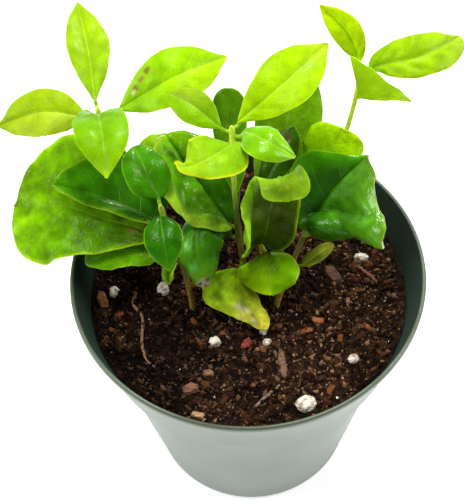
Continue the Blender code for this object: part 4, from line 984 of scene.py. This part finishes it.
make_leaf("leaf_a_rear", young_leaf, "a", 129, [(-40, 29, 131), (-42, 43, 134), (-46, 62, 134)],
          (5.8, LANCE, 14, -10), (6.2, LANCE, 10, -12), "73A002 80AA02 89AE02 80AA01",
          face=(0.1, -0.2, 1), stalk=2.5, wave=(0.4, 2, 0.1))
make_leaf("leaf_a_left", young_leaf, "a", 127.5, [(-43, 25, 127), (-54, 25.3, 129), (-67, 25.3, 124)],
          (7.2, LANCE, 8, -14), (7.2, LANCE, 12, -14), "8CB018 96B320 93AE12 80A303",
          "89AE0E 8FB00E 89AC06 7DA302", face=(0, -0.3, 1), wave=(0.4, 2, 0.4))
make_leaf("leaf_a_front", young_leaf, "a", 127.5, [(-38, 19, 134), (-36, 8, 138), (-35, -2, 134)],
          (7.2, CORDATE, 15, -20), (7.2, CORDATE, 10, -18), "548C02 669C05 72A802 95BE15",
          face=(0, 0.2, 1), stalk=4.0, lobe=3.4, wave=(0.3, 2, 0.0))
make_leaf("leaf_a_right", young_leaf, "a", 127, [(-32, 26.4, 129), (-18, 29, 137), (-4, 39, 134)],
          (8.6, LANCE, 8, -10), (7.6, LANCE, 12, -16), "75AC01 83BA02 8DC202 98C502",
          "71A901 83BA02 9BC904 9BC704", face=(0, -0.4, 1), stalk=4.0, wave=(0.6, 2, 0.2),
          spots=[(0.3, -0.5, 0.8, "7C5A18", 1.0), (0.35, -0.6, 0.8, "8C6A20", 1.0),
                 (0.4, -0.7, 0.7, "6C4E18", 1.0), (0.27, -0.4, 0.6, "D8D0A0", 0.9)])
make_leaf("seed_leaf_a", mature_leaf, "a", 104, [(-28, 24, 105), (-26, 29, 106), (-21, 35, 107)],
          (6.0, ROUND, 0, -20), (6.0, ROUND, 0, -20), "508408 709C08 78A410", wave=(0.8, 2, 0.3))


# Leaves of the middle seedling. Its youngest pair is the brightest of all; one has rolled
# its sides over, and the thick seed leaves below have lost their gloss and colour with age.

make_leaf("leaf_b_left", young_leaf, "b", 134, [(-7, 13, 136), (-13, 17, 139), (-20, 23, 138)],
          (4.8, LANCE, 10, -20), (4.6, LANCE, 14, -10), "68A002 74A902 77A902 71A301",
          "68A002 7AAC09 89AC18 74A601", face=(-0.1, -0.3, 1), wave=(0.3, 2, 0.1))
make_leaf("leaf_b_big", young_leaf, "b", 135, [(0, 14, 137), (10, 20, 142), (23, 34, 143)],
          (7.8, LANCE, 10, -8), (7.4, LANCE, 12, -12), "80AF01 96C302 99C302 B6C918",
          "7DAC01 93BF02 96BF05 A9C613", face=(-0.1, -0.5, 1), wave=(0.5, 2, 0.3))
make_leaf("leaf_b_right", glossy_young_leaf, "b", 133, [(1, 10, 136), (6, 4, 139), (13, 2, 135)],
          (5.2, LANCE, 6, -24), (5.6, LANCE, 6, -34), "6EA805 6EAC05 74AF02 6EA802",
          face=(0, -0.1, 1), wave=(0.3, 2, 0.0))
make_leaf("leaf_b_front", young_leaf, "b", 132.5,
          [(-4, 5.7, 135.5), (-9.1, -0.3, 138), (-12.9, -1.9, 137.5), (-15.4, -1.9, 137.3),
           (-17.5, 0.2, 136.8)],
          (6.6, (0.15, 0.45, 1.1, 1.15, 0.5, 0.12, 0), 8, -20),
          (7.6, (0, 0.25, 0.45, 0.68, 0.88, 1, 1.04, 1.02, 0.8, 0.2, 0.1, 0.1, 0), 10, -20),
          "72A502 78AC02 85AF09 759505", face=(0, -0.1, 1), lobe=0.8, wave=(0.4, 2, 0.2),
          margin=("E0D018", 0.45, 0.6))
make_leaf("seed_leaf_b_left", dark_leaf, "b", 98, [(-6, 9, 101), (-13, 17, 107), (-22, 29, 114)],
          (13.5, ROUND, 30, -20), (10, ROUND, 30, -20), "4C7804 437804 5FA206 9DE009",
          "366802 367304 6AA709 A8E709", wave=(0.8, 3, 0.0), rumple=1.6, quilt=0.6, mottle=0.3,
          rolls=[(((0.08, -0.9), (0.4, -0.93), (0.75, -0.93)), 1.8, 1.3)],
          margin=("B4E030", 2.4, 1.0), right_margin=("88B828", 0.8, 0.6))
make_leaf("seed_leaf_b_front", dark_leaf, "b", 94,
          [(-7, 8, 99), (-13, 5, 103), (-14, -2, 101), (-12, -9, 93)],
          (8.0, ROUND, 10, -60), (5.8, ROUND, 10, -70), "3B6B09 34700D 46860D 779C0E",
          wave=(0.5, 2, 0.2), rumple=0.6,
          # the three pale green spots down the right half are a painted highlight streak; the rest mark
          # damage and holes at the tip
          spots=[(0.45, 0.3, 1.3, "4CA034", 0.7), (0.58, 0.35, 1.2, "68B850", 0.8),
                 (0.7, 0.3, 1.2, "5CAC48", 0.7), (0.88, 0.1, 2.2, "A09478", 0.85),
                 (0.97, -0.1, 1.4, "4A3420", 0.8), (0.84, -0.3, 0.6, "20180C", 0.9),
                 (0.86, 0.4, 0.5, "20180C", 0.9), (0.91, 0.0, 0.5, "20180C", 0.9),
                 (0.93, 0.35, 0.4, "F0E8D8", 0.9)])
make_leaf("seed_leaf_b_rear", dark_leaf, "b", 108, [(-3, 17, 112), (-4, 26, 119), (-4, 34, 127)],
          (4.5, BLUNT, 10, -10), (5, BLUNT, 10, -10), "406C08 4C7C08 609404", wave=(0.5, 2, 0.0))
make_leaf("old_leaf_b", dying_leaf, "b", 86.5, [(-3, -4, 86.5), (-1, -8, 83), (5, -15, 79.3)],
          (4.5, ROUND, 0, -20), (11.5, (0, 0.7, 1, 0.6, 0.3, 0.15, 0), 0, -20),
          "88C60E A2CC18 B8BC30 BCA83C", "82C20E 9CC81A B4B834 BCAA3C", wave=(0.9, 3, 0.0), ragged=0.16,
          rumple=0.8, mottle=0.4,
          spots=[(0.52, 0.35, 1.0, "C8B89C", 0.75), (0.66, 0.1, 0.8, "8C6C34", 0.7),
                 (0.6, 0.75, 1.0, "A88C58", 0.7), (0.3, 0.6, 1.8, "4C8408", 0.6),
                 (0.78, 0.4, 0.7, "8A6A34", 0.7), (0.2, -0.3, 1.4, "4C8408", 0.6),
                 (0.58, 0.2, 0.6, "E0D0B8", 0.8), (0.7, 0.45, 0.6, "E0D0B8", 0.7),
                 (0.84, 0.2, 0.6, "7C5C30", 0.7)])


# Leaves of the tall seedling at the right. Three new leaves with sunken side veins spread at
# its tip; of the seed leaves below, the large one has folded over itself and shines.

make_leaf("leaf_c_rear", young_leaf, "c", 135, [(31, 33, 139), (28, 36, 145), (21, 41, 150)],
          (4.0, LANCE, 25, -10), (4.8, LANCE, 25, -10), "D4FC0E BCE509 BCE504 CBEA11",
          face=(-0.4, -0.7, 0.7), quilt=0.4)
make_leaf("leaf_c_right", young_leaf, "c", 134, [(37, 30, 138), (47, 29, 142), (59, 38, 140)],
          (6.4, EGG, 14, -14), (6.0, (0, 0.15, 0.68, 0.95, 0.95, 0.6, 0), 8, -14),
          "6DA004 8FBB0B 93BB11 AECA38", face=(0, -0.4, 1), wave=(0.4, 2, 0.2), quilt=0.5)
make_leaf("leaf_c_front", young_leaf, "c", 130,
          [(31.4, 26.6, 130.1), (34, 25.6, 130.6), (37.4, 25.2, 131.2), (41.2, 25, 131.2),
           (45.5, 25.4, 128.7)],
          (13.6, (1, 0.97, 0.76, 0.34, 0.12, 0.05, 0.02), 0, 5), (1.2, LANCE, 30, 0),
          "B0E108 B5EB08 BAEF14 EAFF60", face=(0, -0.98, 0.2), stalk=3.6, lobe=2.0)
make_leaf("seed_leaf_c_front", glossy_mature_leaf, "c", 94,
          [(18, 6, 99), (21, 9, 104), (25, 12, 110), (33.6, 15.2, 119)],
          (13, (0, 0.3, 0.55, 0.8, 0.95, 1, 0.98, 0.88, 0.56, 0.28, 0.12, 0.05, 0), 40, -5),
          (21, (0, 0.42, 0.65, 0.75, 0.82, 0.93, 1.04, 1.12, 1.26, 0.8, 0.5, 0.42, 0.36), (20, 28, 28),
           (-130, -130, -115, -84, -57, -38, -30)),
          # the right half is painted lighter towards its tip, a painted sheen on its roll
          "164202 1C5702 255E02 357E02", "1C5002 2A6804 44880E 58981A 5C8418", under="5C8010",
          stalk=4.5, wave=(0.6, 2, 0.2),
          rolls=[(((0.1, 0.1), (0.3, 0.4), (0.5, 0.74), (0.68, 0.95)), 4.0, 3.8)],
          margin=("54B008", 4.5, 0.75), right_margin=("88B428", 0.7, 0.6))
make_leaf("seed_leaf_c_rear", mature_leaf, "c", 101, [(18, 18, 105), (23, 20, 112), (27, 24, 120.5)],
          (8.3, BLUNT, 0, -10), (8.5, BLUNT, 0, -10), "A2EA04 B2F906 BCFF09 C6FF0B",
          face=(0, -0.7, 0.7), stalk=4.0, wave=(0.5, 2, 0.2))
make_leaf("old_leaf_c", dying_leaf, "c", 87.5, [(16, 1, 88), (21, 5, 88), (25, 9, 87)],
          (2.6, ROUND, 0, -20), (2.2, ROUND, 0, -20), "5C7010 70781C 605818")


# Seed leaves of the small seedling in the middle. One has grown up into a cup with its tip
# turned over towards the front; the others lie flat in front of it and behind it.

make_leaf("seed_leaf_d_curled", mature_leaf, "d", 92,
          [(4.2, 4.6, 94.5), (5.8, 4, 103), (7.8, 7, 113.5), (9.2, 7.6, 119.5), (10.6, 4.0, 120.8),
           (11.0, 1.6, 117.4)],
          (13, (0, 0.62, 0.95, 1, 0.55, 0.5, 0), 0, (70, 90, 105, 90, -30, -40, -30)),
          (8, (0, 0.7, 1, 1, 0.8, 0.8, 0), 0, (60, 60, 50, 30, -40, -40, -30)),
          "4E7008 405D04 4E6B08 7EA808", under="94C41C", face=(0, -1, 0.1), stalk=5.0, rolled=0.25,
          turn=(0, 0, 0, 0, -20, -45, -45), wave=(0.4, 2, 0.2), rumple=0.8, mottle=0.25,
          rolls=[(((0.1, -0.96), (0.35, -0.97), (0.62, -0.97)), 1.9, 1.4)],
          margin=("B0F024", 2.4, 1.0), right_margin=("A8D428", 0.6, 0.6),
          spots=[(0.72, -0.2, 0.9, "B89A30", 0.7), (0.7, 0.5, 0.8, "A88828", 0.7),
                 (0.8, 0.1, 0.7, "C8B040", 0.7), (0.06, 0.3, 2.0, "6C4C14", 0.6),
                 # the two lighter green spots on the inside are painted light falling into the cup
                 (0.3, 0.5, 2.0, "5C7C10", 0.5), (0.45, 0.1, 1.6, "5C7C10", 0.4)])
make_leaf("seed_leaf_d_front", mature_leaf, "d", 88.5, [(5.4, 3, 91.4), (6.2, -3, 90.6), (6.6, -8, 86.4)],
          (8.8, (0, 0.6, 0.95, 1, 0.85, 0.45, 0), 0, -20), (9.0, (0, 0.5, 0.9, 1, 0.82, 0.42, 0), 0, -20),
          # the right half is painted lighter than the left, painted light where the curled seed leaf above
          # shades it
          "5D8B03 75AF03 7EB903 88C303", "73A503 8EC206 9DD408 BCE908", stalk=7.5, wave=(0.8, 2, 0.2),
          margin=("A0B820", 0.6, 0.7),
          # the two dark spots at the stalk are painted shade in the gap under the curled seed leaf
          spots=[(0.04, 0.15, 1.5, "30240A", 0.8), (0.04, -0.3, 1.2, "30240A", 0.7)])
make_leaf("seed_leaf_d_rear", mature_leaf, "d", 102, [(8, 22, 108), (13, 34, 117), (12, 45, 127)],
          (9, (0, 0.3, 0.7, 1, 0.95, 0.6, 0), 5, -20), (9.5, (0, 0.2, 0.6, 1, 0.95, 0.6, 0), 5, -20),
          "527D04 639306 6D9D04", face=(0, -0.3, 1), wave=(0.6, 2, 0.2))
make_leaf("seed_leaf_d_side", dark_leaf, "d", 106, [(7, 17, 110), (11, 22, 115), (14, 27, 118)],
          (4.6, ROUND, 5, -20), (4.6, ROUND, 5, -20), "244C06 2C5A06 346808", face=(0, -0.3, 1),
          wave=(0.6, 2, 0.2), spots=[(0.72, -0.1, 1.3, "5C4A34", 0.9), (0.66, 0.1, 0.5, "A89880", 0.8)])


# Leaves of the short seedling at the front left. Two small dark leaves and a rolled one, over
# the broadest seed leaves of the pot, which hang out over its rim.

make_leaf("leaf_s_rear", dark_leaf, "s", 113, [(-24, 8, 115), (-27, 13, 118.5), (-30, 21, 119)],
          (6.2, OVAL, 12, -12), (6.0, OVAL, 12, -12), "307004 388004 408808 5C980C",
          face=(0, -0.2, 1), wave=(0.3, 2, 0.1))
make_leaf("leaf_s_front", dark_leaf, "s", 111.5, [(-23, 0, 113), (-22, -7, 112), (-21, -12, 106)],
          (5.2, EGG, 6, -20), (5.2, EGG, 6, -20), "124F02 195F02 2C7602 4C9407", wave=(0.3, 2, 0.1))
make_leaf("leaf_s_rolled", mature_leaf, "s", 94, [(-21, -4, 96), (-22, -7, 97), (-22, -9, 95)],
          (3, LANCE, 20, 80), (3, LANCE, 20, 80), "5C8C08 74A414 84AC20")
make_leaf("seed_leaf_s_large", mature_leaf, "s", 98,
          [(-30, 6, 101), (-40, 9, 102), (-51, 13, 103), (-66, 16, 100)],
          (18, (0, 0.15, 0.42, 0.8, 1, 0.68, 0), -8, -6), (21, (0, 0.2, 0.45, 0.88, 1.07, 0.7, 0), 12, 0),
          "2B4E01 467801 589301 6BA301 76AF01", "3B6501 518401 649C01 6FA701 6FA301", wave=(1.0, 3, 0.2),
          mottle=0.4, rumple=0.5, margin=("A8D808", 0.8, 0.7),
          spots=[(0.3, -0.1, 1.2, "7C6830", 0.8), (0.4, 0.4, 3.0, "3E7404", 0.5),
                 (0.62, -0.3, 2.6, "4C8404", 0.5), (0.75, 0.3, 2.4, "549004", 0.4)])
make_leaf("seed_leaf_s_folded", dark_leaf, "s", 104, [(-29, 8, 106), (-40, 13, 107), (-53, 14, 112)],
          (4, ROUND, 0, -10), (14, (0, 0.6, 1, 0.95, 0.7, 0.35, 0), 25, 5),
          "1D5A02 276B04 3C8404 51A202", wave=(0.4, 3, 0.2), mottle=0.25, margin=("80B010", 0.7, 0.7),
          spots=[(0.18, 0.96, 0.9, "C8BCA0", 0.85), (0.3, 0.98, 0.8, "B8A888", 0.8),
                 (0.42, 1.0, 0.6, "B0A070", 0.7)])
make_leaf("seed_leaf_s_low", mature_leaf, "s", 94, [(-27, 3, 95), (-38, 2, 96), (-46, 1, 93)],
          (5.5, ROUND, 0, -20), (7, ROUND, 0, -10), "6D7D09 64A404 6DB202 76BC02", wave=(0.8, 3, 0.1))
